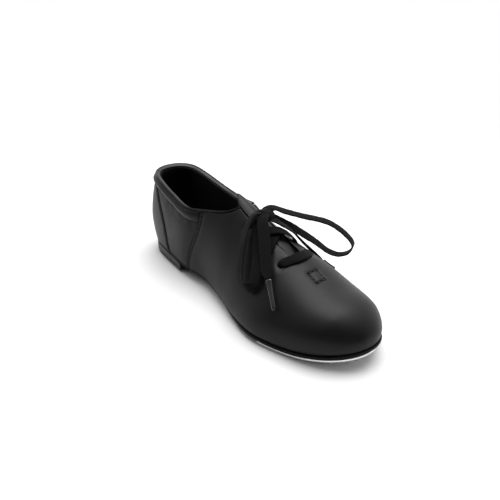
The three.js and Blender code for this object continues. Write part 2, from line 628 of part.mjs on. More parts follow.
const aglet = (from, to) => {
  const line = new THREE.LineCurve3(new THREE.Vector3(...from), new THREE.Vector3(...to));
  const shape = new THREE.Shape();
  shape.absarc(0, 0, 1.9, 0, 2 * Math.PI);
  return toSolid(new THREE.ExtrudeGeometry(shape, { steps: 1, curveSegments: 5, extrudePath: line }));
};
const [rightFrom, rightTo] = hang([[190.9, -29.9, 45.6], [205.7, -37.6, 31.6]]);
add('aglet_right', aglet(rightFrom.slice(0, 3), rightTo.slice(0, 3)), laceBlack);
const leftFrom = onUpper(along(182.6), wide(36.6), 4.2);
add('aglet_left', aglet(leftFrom.slice(0, 3), [leftFrom[0] + 4, leftFrom[1] + 10, leftFrom[2] - 8]), laceBlack);

group.position.x = -heelCentre;
export default group;
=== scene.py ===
# A low-heeled lace-up tap shoe for the right foot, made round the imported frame.
# All shaping is done in millimetres with x = 0 at the heel's back; toFrame moves it to the frame, in metres.
import math
import bpy
import numpy as np
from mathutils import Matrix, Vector
from mathutils.geometry import delaunay_2d_cdt
from mathutils.kdtree import KDTree


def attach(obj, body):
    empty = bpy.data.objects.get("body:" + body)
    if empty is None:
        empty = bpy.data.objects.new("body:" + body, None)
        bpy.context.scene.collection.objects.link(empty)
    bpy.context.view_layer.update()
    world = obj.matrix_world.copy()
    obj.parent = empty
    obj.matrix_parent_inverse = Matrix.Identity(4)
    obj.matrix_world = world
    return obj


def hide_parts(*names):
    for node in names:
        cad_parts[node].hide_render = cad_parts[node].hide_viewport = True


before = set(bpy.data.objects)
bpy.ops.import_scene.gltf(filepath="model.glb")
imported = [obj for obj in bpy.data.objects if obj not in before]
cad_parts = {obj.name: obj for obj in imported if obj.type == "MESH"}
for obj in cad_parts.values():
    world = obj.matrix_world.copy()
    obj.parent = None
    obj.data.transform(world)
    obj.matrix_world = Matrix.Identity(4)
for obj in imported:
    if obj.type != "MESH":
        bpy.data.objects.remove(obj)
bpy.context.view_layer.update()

# ---- the last ----
lastShape = {
    "length": 260.0, "heelCentre": 34.0, "ballHeight": 5.85, "heelRise": 7.0, "toeSpring": 10.0,
    "heelTuck": 6.0, "heelLean": 11.0,
    "rightWidth": [(0, 59), (0.1, 44), (0.2, 37), (0.31, 34), (0.42, 29), (0.54, 34.5), (0.63, 42),
                   (0.73, 49.5), (0.83, 50.5), (1, 54)],
    "leftWidth": [(0, 57), (0.1, 41), (0.2, 36), (0.31, 35), (0.42, 28), (0.54, 32), (0.63, 41),
                  (0.73, 50.5), (0.83, 52.5), (1, 58)],
    "crownHeight": [(0, 135), (0.2, 127), (0.35, 123), (0.46, 107), (0.54, 98), (0.62, 94.5), (0.7, 92.5),
                    (0.78, 90), (0.86, 90), (0.93, 101), (1, 105)],
    "sideBulge": [(0, 2), (0.2, 3), (0.42, 7), (0.65, 6.3), (0.85, 6), (1, 5)],
    "sideRise": [(0, 31), (0.2, 22), (0.42, 19), (0.65, 12.5), (0.85, 9), (1, 5)],
    "crownRound": [(0, 23), (0.2, 20.5), (0.42, 15), (0.65, 20), (0.85, 33), (1, 20)],
    "rim": [(0, 84), (13, 82), (34, 78.5), (57, 72), (83, 66.2), (109, 69), (126, 72.8), (135, 79)],
    "seam": [(6, 84), (13, 85.5), (33, 91), (48, 96.5), (72, 98.5), (95, 99)],
    "backEdge": [(6, 56), (12, 54), (38, 47), (55, 38), (72, 30), (95, 24)],
}
length = lastShape["length"]
ballHeight = lastShape["ballHeight"]
heelSeat = ballHeight + lastShape["heelRise"]


def curveThrough(table):
    # a smooth line through the points, its slopes taken from each point's neighbours
    xs, ys = np.array(table, float).T
    slopes = np.empty_like(ys)
    slopes[1:-1] = (ys[2:] - ys[:-2]) / (xs[2:] - xs[:-2])
    slopes[0] = (ys[1] - ys[0]) / (xs[1] - xs[0])
    slopes[-1] = (ys[-1] - ys[-2]) / (xs[-1] - xs[-2])

    fine = np.linspace(xs[0], xs[-1], 3001)
    i = np.clip(np.searchsorted(xs, fine, side="right") - 1, 0, len(xs) - 2)
    span = xs[i + 1] - xs[i]
    k = (fine - xs[i]) / span
    values = ((2 * k ** 3 - 3 * k ** 2 + 1) * ys[i] + (k ** 3 - 2 * k ** 2 + k) * span * slopes[i]
              + (3 * k ** 2 - 2 * k ** 3) * ys[i + 1] + (k ** 3 - k ** 2) * span * slopes[i + 1])
    return lambda x: np.interp(x, fine, values)


rightWidth, leftWidth = curveThrough(lastShape["rightWidth"]), curveThrough(lastShape["leftWidth"])
crownHeight, sideBulge = curveThrough(lastShape["crownHeight"]), curveThrough(lastShape["sideBulge"])
sideRise, crownRound = curveThrough(lastShape["sideRise"]), curveThrough(lastShape["crownRound"])
rimHeight = curveThrough(lastShape["rim"])
seamX, backEdgeX = curveThrough(lastShape["seam"]), curveThrough(lastShape["backEdge"])
featherRear = curveThrough([(0, heelSeat + 0.6), (0.18, heelSeat), (0.3, heelSeat - 1.6),
                            (0.45, ballHeight + lastShape["heelRise"] * 0.38), (0.56, ballHeight + 0.4),
                            (0.62, ballHeight)])


def featherHeight(x):
    # the line where upper meets sole: heel seat, arch, flat ball, then the toe's spring
    share = np.asarray(x, float) / length
    front = ballHeight + lastShape["toeSpring"] * np.maximum(0, (share - 0.8) / 0.2) ** 1.8
    return np.where(share < 0.62, featherRear(share), front)


def smoothstep(x, low, high):
    k = np.clip((np.asarray(x, float) - low) / (high - low), 0, 1)
    return k * k * (3 - 2 * k)


def lastPoint(u, t, side):
    # u runs from heel (0) to toe (1); t from the feather line (0) to the crown (1)
    u, t, side = np.broadcast_arrays(*[np.asarray(a, float) for a in (u, t, side)])
    share = (1 - np.cos(np.pi * u)) / 2
    half = np.where(side < 0, rightWidth(share), leftWidth(share)) * np.sin(np.pi * u)
    high = crownHeight(share) * np.sqrt(np.maximum(0, 1 - share))
    out = sideBulge(share) * np.minimum(1, half / 22)
    low = np.minimum(sideRise(share), high * 0.6)
    soft = crownRound(share) * np.minimum(1, half / 28)
    w = 1 - t
    y = w ** 3 * half + 3 * w * w * t * (half + out) + 3 * w * t * t * soft
    z = 3 * w * w * t * low + 3 * w * t * t * high + t ** 3 * high
    up = z / 60
    tuck = lastShape["heelTuck"] * np.maximum(0, 1 - up / 0.45) ** 2
    lean = lastShape["heelLean"] * np.clip((up - 0.35) / 0.65, 0, 2) ** 1.6
    fade = np.maximum(0, 1 - share / 0.4) ** 1.5
    return np.stack([share * length + (tuck + lean) * fade, side * y, featherHeight(share * length) + z], -1)


def unit(vectors):
    return vectors / np.maximum(np.linalg.norm(vectors, axis=-1, keepdims=True), 1e-12)


def runAlong(line):
    # how far along the line each of its points lies
    return np.concatenate([[0], np.cumsum(np.linalg.norm(np.diff(line, axis=0), axis=1))])


def fullTurn(count):
    return np.linspace(0, 2 * np.pi, count, endpoint=False)


def lastNormal(u, t, side):
    # points out of the shoe
    step = 1e-4
    u, t, side = np.broadcast_arrays(*[np.asarray(a, float) for a in (u, t, side)])
    u = np.clip(u, 0, 0.9994)
    ahead = lastPoint(u + step, t, side) - lastPoint(np.maximum(u - step, 0), t, side)
    across = lastPoint(u, np.minimum(t + step, 1), side) - lastPoint(u, np.maximum(t - step, 0), side)
    return unit(np.cross(ahead, across) * -side[..., None])


def bisect(test, low, high, rounds=26):
    # the values where test turns from False to True
    for _ in range(rounds):
        middle = (low + high) / 2
        beyond = test(middle)
        low, high = np.where(beyond, low, middle), np.where(beyond, middle, high)
    return (low + high) / 2


def placeOnLast(x, y):
    # the u, t and side of the points of the upper whose x and y are given
    x, y = np.asarray(x, float), np.asarray(y, float)
    side = np.where(y < 0, -1.0, 1.0)
    u = np.arccos(1 - 2 * x / length) / np.pi
    for _ in range(6):
        t = bisect(lambda v: lastPoint(u, v, side)[..., 1] * side <= np.abs(y), 0.25 + 0 * x, 1 + 0 * x, 20)
        u = u + (x - lastPoint(u, t, side)[..., 0]) / length / 3
    return u, t, side


def toFrame(points):
    return (np.asarray(points, float) - [lastShape["heelCentre"], 0, 0]) * 0.001


# ---- the skin laid flat, to draw panels on ----
class Skin:
    # flat x runs along the shoe and flat y round it, both close to true millimetres
    def __init__(self, fromCrown):
        self.fromCrown = fromCrown
        self.us = np.linspace(0, 1, 801)
        spine = lastPoint(self.us, 0.75 if fromCrown else 0.3, 1)
        self.run = runAlong(spine)
        ts = np.linspace(0, 1 if fromCrown else 0.6, 50)
        wall = lastPoint(self.us[:, None], ts[None, :], 1)
        self.girth = np.linalg.norm(np.diff(wall, axis=1), axis=2).sum(1) / ts[-1]

    def toSkin(self, flat):
        if self.fromCrown:
            u = np.interp(flat[:, 0], self.run, self.us)
            around = flat[:, 1] / np.maximum(np.interp(u, self.us, self.girth), 1e-9)
            return u, np.clip(1 - np.abs(around), 0, 1), np.where(around < 0, -1.0, 1.0)
        u = np.interp(np.abs(flat[:, 0]), self.run, self.us)
        t = np.clip(flat[:, 1] / np.interp(u, self.us, self.girth), 0, 1)
        return u, t, np.where(flat[:, 0] < 0, -1.0, 1.0)

    def toFlat(self, u, t, side):
        u, t, side = np.broadcast_arrays(*[np.asarray(a, float) for a in (u, t, side)])
        run, girth = np.interp(u, self.us, self.run), np.interp(u, self.us, self.girth)
        if self.fromCrown:
            return np.stack([run, side * (1 - t) * girth], -1)
        return np.stack([side * run, t * girth], -1)

    def place(self, flat, depth):
        u, t, side = self.toSkin(flat)
        placed = lastPoint(u, t, side) - lastNormal(u, t, side) * np.asarray(depth, float)[..., None]
        sole = featherHeight(placed[:, 0]) + 0.15
        placed[:, 2] = np.where(t < 1e-6, sole, np.maximum(placed[:, 2], sole))
        return placed

    def normal(self, flat):
        return lastNormal(*self.toSkin(flat))

    def onPlan(self, points):
        x, y = np.array(points, float).T
        return self.toFlat(*placeOnLast(x, y))


class Plan:
    # a level sheet: flat x and y are the shoe's own, depth runs down from a height given at each x
    def __init__(self, height):
        self.height = height

    def place(self, flat, depth):
        return np.column_stack([flat, self.height(flat[:, 0]) - depth])

    def normal(self, flat):
        return np.tile([0.0, 0.0, 1.0], (len(flat), 1))


frontSkin, rearSkin = Skin(True), Skin(False)


def onLine(t, side, line, shift):
    # u on the skin where x meets a line that is given by height
    def beyond(u):
        p = lastPoint(u, t, side)
        return p[..., 0] > line(p[..., 2]) + shift
    return bisect(beyond, np.full(np.shape(t), 0.02), np.full(np.shape(t), 0.6))


def underRim(u, side, drop):
    # t on the skin where it comes up to the rim, less a drop
    def above(t):
        p = lastPoint(u, t, side)
        return p[..., 2] > rimHeight(p[..., 0]) - drop
    return bisect(above, np.zeros(np.shape(u)), np.ones(np.shape(u)))


def remembered(work):
    known = {}

    def recall(*given):
        if given not in known:
            known[given] = work(*given)
        return known[given]
    return recall


@remembered
def lineMeetsRim(side, line, shift, drop):
    def above(t):
        p = lastPoint(onLine(t, side, line, shift), t, side)
        return p[..., 2] > rimHeight(p[..., 0]) - drop
    t = bisect(above, np.array(0.0), np.array(0.9))
    return onLine(t, side, line, shift), t


def topOf(side, line, shift, drop):
    return float(lineMeetsRim(side, line, shift, drop)[0])


def footOf(side, line, shift):
    return float(onLine(np.array(0.0), side, line, shift))


def upLine(skin, side, line, shift, fromDrop, toDrop, count=40):
    # a panel's edge along a line; a drop of None is the feather line
    t0 = 0.0 if fromDrop is None else lineMeetsRim(side, line, shift, fromDrop)[1]
    t1 = 0.0 if toDrop is None else lineMeetsRim(side, line, shift, toDrop)[1]
    t = np.linspace(t0, t1, count)
    return skin.toFlat(onLine(t, side, line, shift), t, side)


def alongRim(skin, side, fromU, toU, drop, count=60):
    u = np.linspace(fromU, toU, count)
    return skin.toFlat(u, underRim(u, side, drop), side)


def alongFeather(skin, side, fromU, toU, count=100):
    return skin.toFlat(np.linspace(fromU, toU, count), 0.0, side)


# ---- mesh work ----
def resample(line, spacing):
    line = np.asarray(line, float)
    run = runAlong(line)
    count = max(int(round(run[-1] / spacing)), 3)
    at = np.linspace(0, run[-1], count + 1)
    return np.column_stack([np.interp(at, run, line[:, k]) for k in range(line.shape[1])])


def tidyRing(parts, spacing=1.5):
    # one closed ring from its stretches, each keeping its own corners
    points = []
    for part in parts:
        part = np.asarray(part, float)
        if np.linalg.norm(part[-1] - part[0]) < 1e-6 and len(part) < 3:
            continue
        points.extend(resample(part, spacing)[:-1])
    kept = [points[0]]
    for p in points[1:]:
        if np.linalg.norm(p - kept[-1]) > 0.05:
            kept.append(p)
    if np.linalg.norm(kept[-1] - kept[0]) < 0.05:
        kept.pop()
    ring = np.array(kept)
    x, y = ring.T
    area = np.sum(x * np.roll(y, -1) - np.roll(x, -1) * y)
    return ring if area > 0 else ring[::-1]


def offsetLine(line, distance, closed=False):
    # positive goes to the line's left
    line = np.asarray(line, float)
    if closed:
        ahead = np.roll(line, -1, 0) - np.roll(line, 1, 0)
    else:
        ahead = np.gradient(line, axis=0)
    ahead = unit(ahead)
    return line + np.column_stack([-ahead[:, 1], ahead[:, 0]]) * distance


def insideRing(points, ring):
    x, y = points[:, 0][:, None], points[:, 1][:, None]
    x0, y0 = ring.T
    x1, y1 = np.roll(ring, -1, 0).T
    crosses = ((y0 > y) != (y1 > y)) & (x < (x1 - x0) * (y - y0) / np.where(y1 == y0, 1e-12, y1 - y0) + x0)
    return crosses.sum(1) % 2 == 1


def distanceTo(points, line, closed=False):
    line = np.asarray(line, float)
    a = line if closed else line[:-1]
    b = np.roll(line, -1, 0) if closed else line[1:]
    best = np.full(len(points), 1e9)
    for start in range(0, len(points), 1500):
        p = points[start:start + 1500][:, None, :]
        along = b - a
        k = np.clip(((p - a) * along).sum(2) / np.maximum((along ** 2).sum(1), 1e-12), 0, 1)
        best[start:start + 1500] = np.sqrt((((a + along * k[..., None]) - p) ** 2).sum(2)).min(1)
    return best


def thinOut(points, keepFrom, gapWanted):
    # drops new points that are closer than the gap to those kept already
    if not len(points):
        return points
    tree = KDTree(len(keepFrom))
    for i, p in enumerate(keepFrom):
        tree.insert((p[0], p[1], 0), i)
    tree.balance()
    free = [tree.find((p[0], p[1], 0))[2] > gapWanted for p in points]
    return points[np.array(free)]


def makeObject(name, verts, faces, uv=None, sharpAngle=50):
    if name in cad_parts:
        name = name + "_made"
    mesh = bpy.data.meshes.new(name)
    mesh.from_pydata([tuple(v) for v in toFrame(verts)], [], [tuple(int(i) for i in f) for f in faces])
    mesh.validate()
    if uv is not None:
        layer = mesh.uv_layers.new(name="UVMap")
        corner = np.zeros(len(mesh.loops), np.int32)
        mesh.loops.foreach_get("vertex_index", corner)
        layer.data.foreach_set("uv", np.asarray(uv, float)[corner].astype(np.float32).ravel())
    mesh.polygons.foreach_set("use_smooth", np.ones(len(mesh.polygons), bool))
    mesh.update()
    mesh.set_sharp_from_angle(angle=math.radians(sharpAngle))
    made = bpy.data.objects.new(name, mesh)
    bpy.context.scene.collection.objects.link(made)
    return made


def finishPiece(made, material, body="shoe", replaces=()):
    made.data.materials.append(material)
    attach(made, body)
    if replaces:
        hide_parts(*replaces)
    return made


def buildSheet(name, skin, ring, outer, inner, holes=(), grooves=(), spacing=2.4, roundOuter=0.5,
               roundInner=0.25, shape=None, wall=()):
    # a closed layer between two depths over a flat outline, with rounded edges and sewn grooves
    holes = [np.asarray(h, float) for h in holes]
    borders = [ring, *holes]
    extra = []
    if roundOuter > 0:
        for k in (0.18, 0.45, 0.8, 1.25):
            extra.extend(offsetLine(b, k * roundOuter, True) for b in borders)
    for groove in grooves:
        line = resample(groove["line"], 1.2)
        for k in (0, -0.5, 0.5, -1.1, 1.1, -2, 2):
            extra.append(offsetLine(line, k * groove["width"]))
    extra = np.vstack(extra) if extra else np.zeros((0, 2))

    def onPanel(points):
        good = insideRing(points, ring)
        for h in holes:
            good &= ~insideRing(points, h)
        return good

    def within(points, margin):
        points = points[onPanel(points)]
        if not len(points):
            return points
        far = np.min([distanceTo(points, b, True) for b in borders], axis=0)
        return points[far > margin]

    extra = within(extra, 0.12 * max(roundOuter, 0.3))
    low, high = ring.min(0), ring.max(0)
    xs = np.arange(low[0] + spacing / 3, high[0], spacing)
    ys = np.arange(low[1] + spacing / 3, high[1], spacing)
    grid = np.stack(np.meshgrid(xs, ys, indexing="ij"), -1)
    grid[::2, :, 1] += spacing / 2
    grid = within(grid.reshape(-1, 2), 0.5 * spacing)
    grid = thinOut(grid, np.vstack([ring, extra]) if len(extra) else ring, 0.62 * spacing)
    points = np.vstack([*borders, extra, grid])
    edges, start = [], 0
    for b in borders:
        edges.extend((start + i, start + (i + 1) % len(b)) for i in range(len(b)))
        start += len(b)
    made = delaunay_2d_cdt([Vector(p) for p in points], edges, [list(range(len(ring)))], 1, 1e-5, False)
    flat = np.array([tuple(v) for v in made[0]], float)
    faces = np.array([f for f in made[2] if len(f) == 3], int)
    faces = faces[onPanel(flat[faces].mean(1))]
    a, b, c = flat[faces[:, 0]], flat[faces[:, 1]], flat[faces[:, 2]]
    area = (b[:, 0] - a[:, 0]) * (c[:, 1] - a[:, 1]) - (b[:, 1] - a[:, 1]) * (c[:, 0] - a[:, 0])
    faces = faces[np.abs(area) > 1e-7]
    area = area[np.abs(area) > 1e-7]
    faces[area < 0] = faces[area < 0][:, ::-1]
    used = np.unique(faces)
    remap = np.full(len(flat), -1)
    remap[used] = np.arange(len(used))
    flat, faces = flat[used], remap[faces]
    edge = np.min([distanceTo(flat, b, True) for b in borders], axis=0)

    def rounding(radius):
        if radius <= 0:
            return 0 * edge
        k = np.clip(1 - edge / radius, 0, 1)
        return radius * (1 - np.sqrt(np.maximum(0, 1 - k * k)))

    outerDepth = outer + rounding(roundOuter)
    for groove in grooves:
        away = distanceTo(flat, groove["line"])
        outerDepth = outerDepth + groove["depth"] * np.exp(-(away / groove["width"]) ** 2)
    if shape is not None:
        outerDepth = outerDepth + shape(flat, edge)
    innerDepth = (inner(flat) if callable(inner) else inner) - rounding(roundInner) + 0 * edge
    top, bottom = skin.place(flat, outerDepth), skin.place(flat, innerDepth)
    # which way round the triangles look from outside
    a, b, c = top[faces[:, 0]], top[faces[:, 1]], top[faces[:, 2]]
    outward = (np.cross(b - a, c - a) * skin.normal(flat[faces[:, 0]])).sum()
    if outward < 0:
        faces = faces[:, ::-1]
    count = len(flat)
    links = {}
    for f in faces:
        for i in range(3):
            p, q = f[i], f[(i + 1) % 3]
            links[(p, q)] = links.get((p, q), 0) + 1
    border = [(p, q) for (p, q) in links if (q, p) not in links]
    ringVerts = sorted({v for e in border for v in e})
    verts, allFaces, uvs = [top, bottom], [faces, faces[:, ::-1] + count], [flat, flat]
    layers = [{v: v for v in ringVerts}]
    total = 2 * count
    if len(wall):
        # the side's own rows: each is (share of the depth, how far it is drawn in)
        centres = np.zeros((count, 2))
        for p, q in border:
            d = flat[q] - flat[p]
            d = d / max(np.linalg.norm(d), 1e-9)
            inward = np.array([-d[1], d[0]]) * (1 if outward > 0 else -1)
            centres[p] += inward
            centres[q] += inward
        inwards = unit(centres[ringVerts])
        for share, drawn in wall:
            row = flat[ringVerts] + inwards * drawn
            depth = outerDepth[ringVerts] * (1 - share) + innerDepth[ringVerts] * share
            verts.append(skin.place(row, depth))
            uvs.append(row)
            layers.append({v: total + i for i, v in enumerate(ringVerts)})
            total += len(ringVerts)
    layers.append({v: v + count for v in ringVerts})
    quads = []
    for upper, lower in zip(layers[:-1], layers[1:]):
        quads.extend((upper[q], upper[p], lower[p], lower[q]) for p, q in border)
    everything = [tuple(f) for group in allFaces for f in group] + quads
    return makeObject(name, np.vstack(verts), everything, np.vstack(uvs) * 0.001)


def tubeAlong(sections):
    # joins equal rings of points into one skin with closed ends; returns verts and faces
    count, rows = len(sections[0]), len(sections)
    faces = []
    for i in range(rows - 1):
        a, b = i * count, (i + 1) * count
        faces.extend((a + j, a + (j + 1) % count, b + (j + 1) % count, b + j) for j in range(count))
    faces.append(tuple(range(count))[::-1])
    faces.append(tuple((rows - 1) * count + j for j in range(count)))
    return np.vstack(sections), faces


def merged(parts):
    verts, faces, start = [], [], 0
    for v, f in parts:
        verts.append(v)
        faces.extend(tuple(i + start for i in face) for face in f)
        start += len(v)
    return np.vstack(verts), faces


def sewStitches(name, skin, lines, depth, pitch=3.0, stitch=2.2, radius=0.3):
    # short threads that lie in the groove along each line
    arch = np.array([0.45, 0.12, -0.02, -0.08, -0.02, 0.12, 0.45]) * radius
    fat = np.array([0.35, 0.85, 1, 1, 1, 0.85, 0.35]) * radius
    turns = fullTurn(8)
    parts = []
    for line in lines:
        run = runAlong(line)
        count = max(int(run[-1] / pitch), 1)
        for i in range(count):
            middle = (i + 0.5) * run[-1] / count
            at = middle + np.linspace(-0.5, 0.5, len(arch)) * stitch
            flat = np.column_stack([np.interp(at, run, line[:, k]) for k in range(2)])
            centres = skin.place(flat, depth + arch)
            normals = skin.normal(flat)
            ahead = unit(np.gradient(centres, axis=0))
            across = unit(np.cross(ahead, normals))
            parts.append(tubeAlong([c + r * (np.outer(np.cos(turns), s) + np.outer(np.sin(turns), n))
                                    for c, n, s, r in zip(centres, normals, across, fat)]))
    verts, faces = merged(parts)
    return finishPiece(makeObject(name, verts, faces), thread)


# ---- finishes ----
def startMaterial(name, colour, roughness, metallic=0.0):
    material = bpy.data.materials.new(name)
    material.use_nodes = True
    tree = material.node_tree
    shader = tree.nodes["Principled BSDF"]
    shader.inputs["Base Color"].default_value = (*colour, 1)
    shader.inputs["Roughness"].default_value = roughness
    shader.inputs["Metallic"].default_value = metallic
    place = tree.nodes.new("ShaderNodeTexCoord")
    return material, tree, shader, place


def addNode(tree, kind, inputs, **settings):
    node = tree.nodes.new("ShaderNode" + kind)
    for key, value in settings.items():
        setattr(node, key, value)
    for key, value in inputs.items():
        if isinstance(value, bpy.types.NodeSocket):
            tree.links.new(value, node.inputs[key])
        else:
            node.inputs[key].default_value = value
    return node


def noiseField(tree, where, scale, detail=3.0, roughness=0.55):
    inputs = {"Vector": where, "Scale": scale, "Detail": detail, "Roughness": roughness}
    return addNode(tree, "TexNoise", inputs).outputs["Fac"]


def stretch(tree, value, low, high, toLow, toHigh):
    return addNode(tree, "MapRange", {"Value": value, "From Min": low, "From Max": high, "To Min": toLow,
                                      "To Max": toHigh}).outputs["Result"]


def maths(tree, operation, *inputs):
    return addNode(tree, "Math", dict(enumerate(inputs)), operation=operation).outputs[0]


def shaded(colour, share):
    return tuple(c * share for c in colour)


def twoTone(tree, shader, share, first, second):
    # the base colour runs between two tones
    mix = addNode(tree, "Mix", {0: share, 6: (*first, 1), 7: (*second, 1)}, data_type="RGBA")
    tree.links.new(mix.outputs[2], shader.inputs["Base Color"])


def setBump(tree, shader, height, strength, distance, under=None):
    inputs = {"Height": height, "Strength": strength, "Distance": distance}
    if under is not None:
        inputs["Normal"] = under
    bump = addNode(tree, "Bump", inputs)
    tree.links.new(bump.outputs["Normal"], shader.inputs["Normal"])
    return bump.outputs["Normal"]


def makeLeather(name, look):
    # clouded colour and gloss, a fine surface and rounded pores
    material, tree, shader, place = startMaterial(name, look["colour"], look["roughness"])
    where = place.outputs["Object"]
    cloud = noiseField(tree, where, 22)
    fine = noiseField(tree, where, 420, 4)
    pores = addNode(tree, "TexVoronoi", {"Vector": where, "Scale": look["grainPerMetre"], "Smoothness": 0.6},
                    feature="SMOOTH_F1")
    twoTone(tree, shader, stretch(tree, cloud, 0.35, 0.7, 0, 1), look["colour"],
            shaded(look["colour"], look["variation"]))
    rough = maths(tree, "ADD", stretch(tree, cloud, 0.3, 0.7, -0.03, 0.04),
                  stretch(tree, fine, 0.3, 0.7, look["roughness"] - 0.03, look["roughness"] + 0.04))
    tree.links.new(rough, shader.inputs["Roughness"])
    soft = setBump(tree, shader, fine, look["grainStrength"] * 0.5, 0.0002)
    setBump(tree, shader, pores.outputs["Distance"], look["grainStrength"], 0.0003, soft)
    shader.inputs["Specular IOR Level"].default_value = look["gloss"]
    return material


def makeLining(name, look):
    # a thin woven backing: two crossed sets of threads
    material, tree, shader, place = startMaterial(name, look["colour"], look["roughness"])
    where = place.outputs["Object"]
    wave = {"Vector": where, "Scale": look["weaveScale"], "Distortion": 0.6, "Detail": 1.0}
    threads = [addNode(tree, "TexWave", wave, bands_direction=way).outputs["Fac"] for way in ("X", "Z")]
    weave = maths(tree, "MULTIPLY", *threads)
    cloud = noiseField(tree, where, 60)
    twoTone(tree, shader, stretch(tree, cloud, 0.3, 0.7, 0, 1), look["colour"], shaded(look["colour"], 0.55))
    setBump(tree, shader, weave, 0.4, 0.0003)
    shader.inputs["Specular IOR Level"].default_value = 0.25
    return material


def makeBraid(name, look):
    # flat woven lace: the UV runs round the lace and along it, in metres
    material, tree, shader, place = startMaterial(name, look["colour"], look["roughness"])
    split = addNode(tree, "SeparateXYZ", {"Vector": place.outputs["UV"]})
    waves = []
    for sign in (1, -1):
        tilt = maths(tree, "MULTIPLY", split.outputs["X"], sign)
        lean = maths(tree, "ADD", split.outputs["Y"], tilt)
        waves.append(maths(tree, "SINE", maths(tree, "MULTIPLY", lean, 2 * math.pi / look["ribPitch"])))
    fluff = noiseField(tree, place.outputs["Object"], 900)
    height = maths(tree, "ADD", maths(tree, "MAXIMUM", *waves), fluff)
    # the grooves between the ribs are painted darker than the rib tops: painted shade in the weave's hollows
    twoTone(tree, shader, stretch(tree, height, -0.2, 1.5, 0, 1), shaded(look["colour"], 0.45),
            look["colour"])
    setBump(tree, shader, height, 0.55, 0.00025)
    shader.inputs["Specular IOR Level"].default_value = 0.08
    shader.inputs["Sheen Weight"].default_value = look["sheen"]
    shader.inputs["Sheen Roughness"].default_value = 0.5
    return material


def makePlainSolid(name, look):
    # board, foam, rubber, thread and plastic: speckled colour, uneven gloss and a fine surface
    material, tree, shader, place = startMaterial(name, look["colour"], look["roughness"])
    speckle = noiseField(tree, place.outputs["Object"], look["grainPerMetre"], 4)
    twoTone(tree, shader, stretch(tree, speckle, 0.35, 0.65, 0, 1), look["colour"],
            shaded(look["colour"], look["variation"]))
    tree.links.new(stretch(tree, speckle, 0.3, 0.7, look["roughness"] - 0.06, look["roughness"] + 0.06),
                   shader.inputs["Roughness"])
    setBump(tree, shader, speckle, look["bump"], 0.0003)
    return material


def makeStack(name, look):
    # pressed layers of leather board: faint level bands and a rubbed black dressing
    material, tree, shader, place = startMaterial(name, look["colour"], look["roughness"])
    where = place.outputs["Object"]
    wave = {"Vector": where, "Scale": look["layerScale"], "Distortion": 1.2, "Detail": 2.0,
            "Detail Scale": 3.0}
    layers = addNode(tree, "TexWave", wave, bands_direction="Z").outputs["Fac"]
    speckle = noiseField(tree, where, 500, 5)
    mixed = maths(tree, "MULTIPLY", layers, speckle)
    twoTone(tree, shader, stretch(tree, mixed, 0.1, 0.6, 0, 1), look["colour"],
            shaded(look["colour"], look["variation"]))
    tree.links.new(stretch(tree, speckle, 0.3, 0.7, look["roughness"] - 0.08, look["roughness"] + 0.1),
                   shader.inputs["Roughness"])
    setBump(tree, shader, mixed, 0.5, 0.0004)
    return material


def makeMetal(name, look):
    # rolled plate with fine lines along it and a few scuffs
    material, tree, shader, place = startMaterial(name, look["colour"], look["roughness"], 1.0)
    squeeze = addNode(tree, "Mapping", {"Vector": place.outputs["Object"], "Scale": (40, 1400, 400)})
    lines = noiseField(tree, squeeze.outputs["Vector"], 1, 4)
    scuffs = noiseField(tree, place.outputs["Object"], 90, 5, 0.7)
    rough = maths(tree, "ADD", stretch(tree, lines, 0.3, 0.7, -0.05, 0.05),
                  stretch(tree, scuffs, 0.4, 0.7, look["roughness"] - 0.04, look["roughness"] + 0.14))
    tree.links.new(rough, shader.inputs["Roughness"])
    twoTone(tree, shader, stretch(tree, scuffs, 0.45, 0.75, 0, 1), look["colour"],
            shaded(look["colour"], 0.82))
    setBump(tree, shader, lines, 0.15, 0.0001)
    return material


finishes = {
    "upper": {"colour": (0.0042, 0.0042, 0.0044), "roughness": 0.42, "grainPerMetre": 1300,
              "grainStrength": 0.09, "variation": 1.3, "gloss": 0.17},
    "binding": {"colour": (0.0045, 0.0045, 0.0048), "roughness": 0.4, "grainPerMetre": 1500,
                "grainStrength": 0.08, "variation": 1.2, "gloss": 0.24},
    "lining": {"colour": (0.006, 0.0058, 0.0056), "roughness": 0.85, "weaveScale": 320},
    "lace": {"colour": (0.003, 0.003, 0.0036), "roughness": 0.85, "ribPitch": 0.0016, "sheen": 0.03},
    "sole": {"colour": (0.002, 0.002, 0.0022), "roughness": 0.5, "grainPerMetre": 700, "grainStrength": 0.12,
             "variation": 1.4, "gloss": 0.1},
    "heelStack": {"colour": (0.008, 0.008, 0.008), "roughness": 0.5, "layerScale": 21, "variation": 1.9},
    "rubber": {"colour": (0.008, 0.008, 0.008), "roughness": 0.75, "grainPerMetre": 900, "variation": 1.5,
               "bump": 0.35},
    "thread": {"colour": (0.0025, 0.0025, 0.0028), "roughness": 0.55, "grainPerMetre": 2500, "variation": 1.6,
               "bump": 0.3},
    "aglet": {"colour": (0.008, 0.008, 0.009), "roughness": 0.16, "grainPerMetre": 300, "variation": 1.2,
              "bump": 0.05},
    "board": {"colour": (0.15, 0.095, 0.055), "roughness": 0.85, "grainPerMetre": 700, "variation": 0.7,
              "bump": 0.4},
    "stayCloth": {"colour": (0.02, 0.02, 0.02), "roughness": 0.9, "weaveScale": 400},
    "foam": {"colour": (0.6, 0.52, 0.32), "roughness": 0.95, "grainPerMetre": 1100, "variation": 0.8,
             "bump": 0.6},
    "tapMetal": {"colour": (0.80, 0.805, 0.815), "roughness": 0.26},
    "steel": {"colour": (0.52, 0.53, 0.55), "roughness": 0.34},
}
upperLeather = makeLeather("upper_leather", finishes["upper"])
bindingLeather = makeLeather("binding_leather", finishes["binding"])
soleLeather = makeLeather("sole_leather", finishes["sole"])
liningCloth = makeLining("lining_cloth", finishes["lining"])
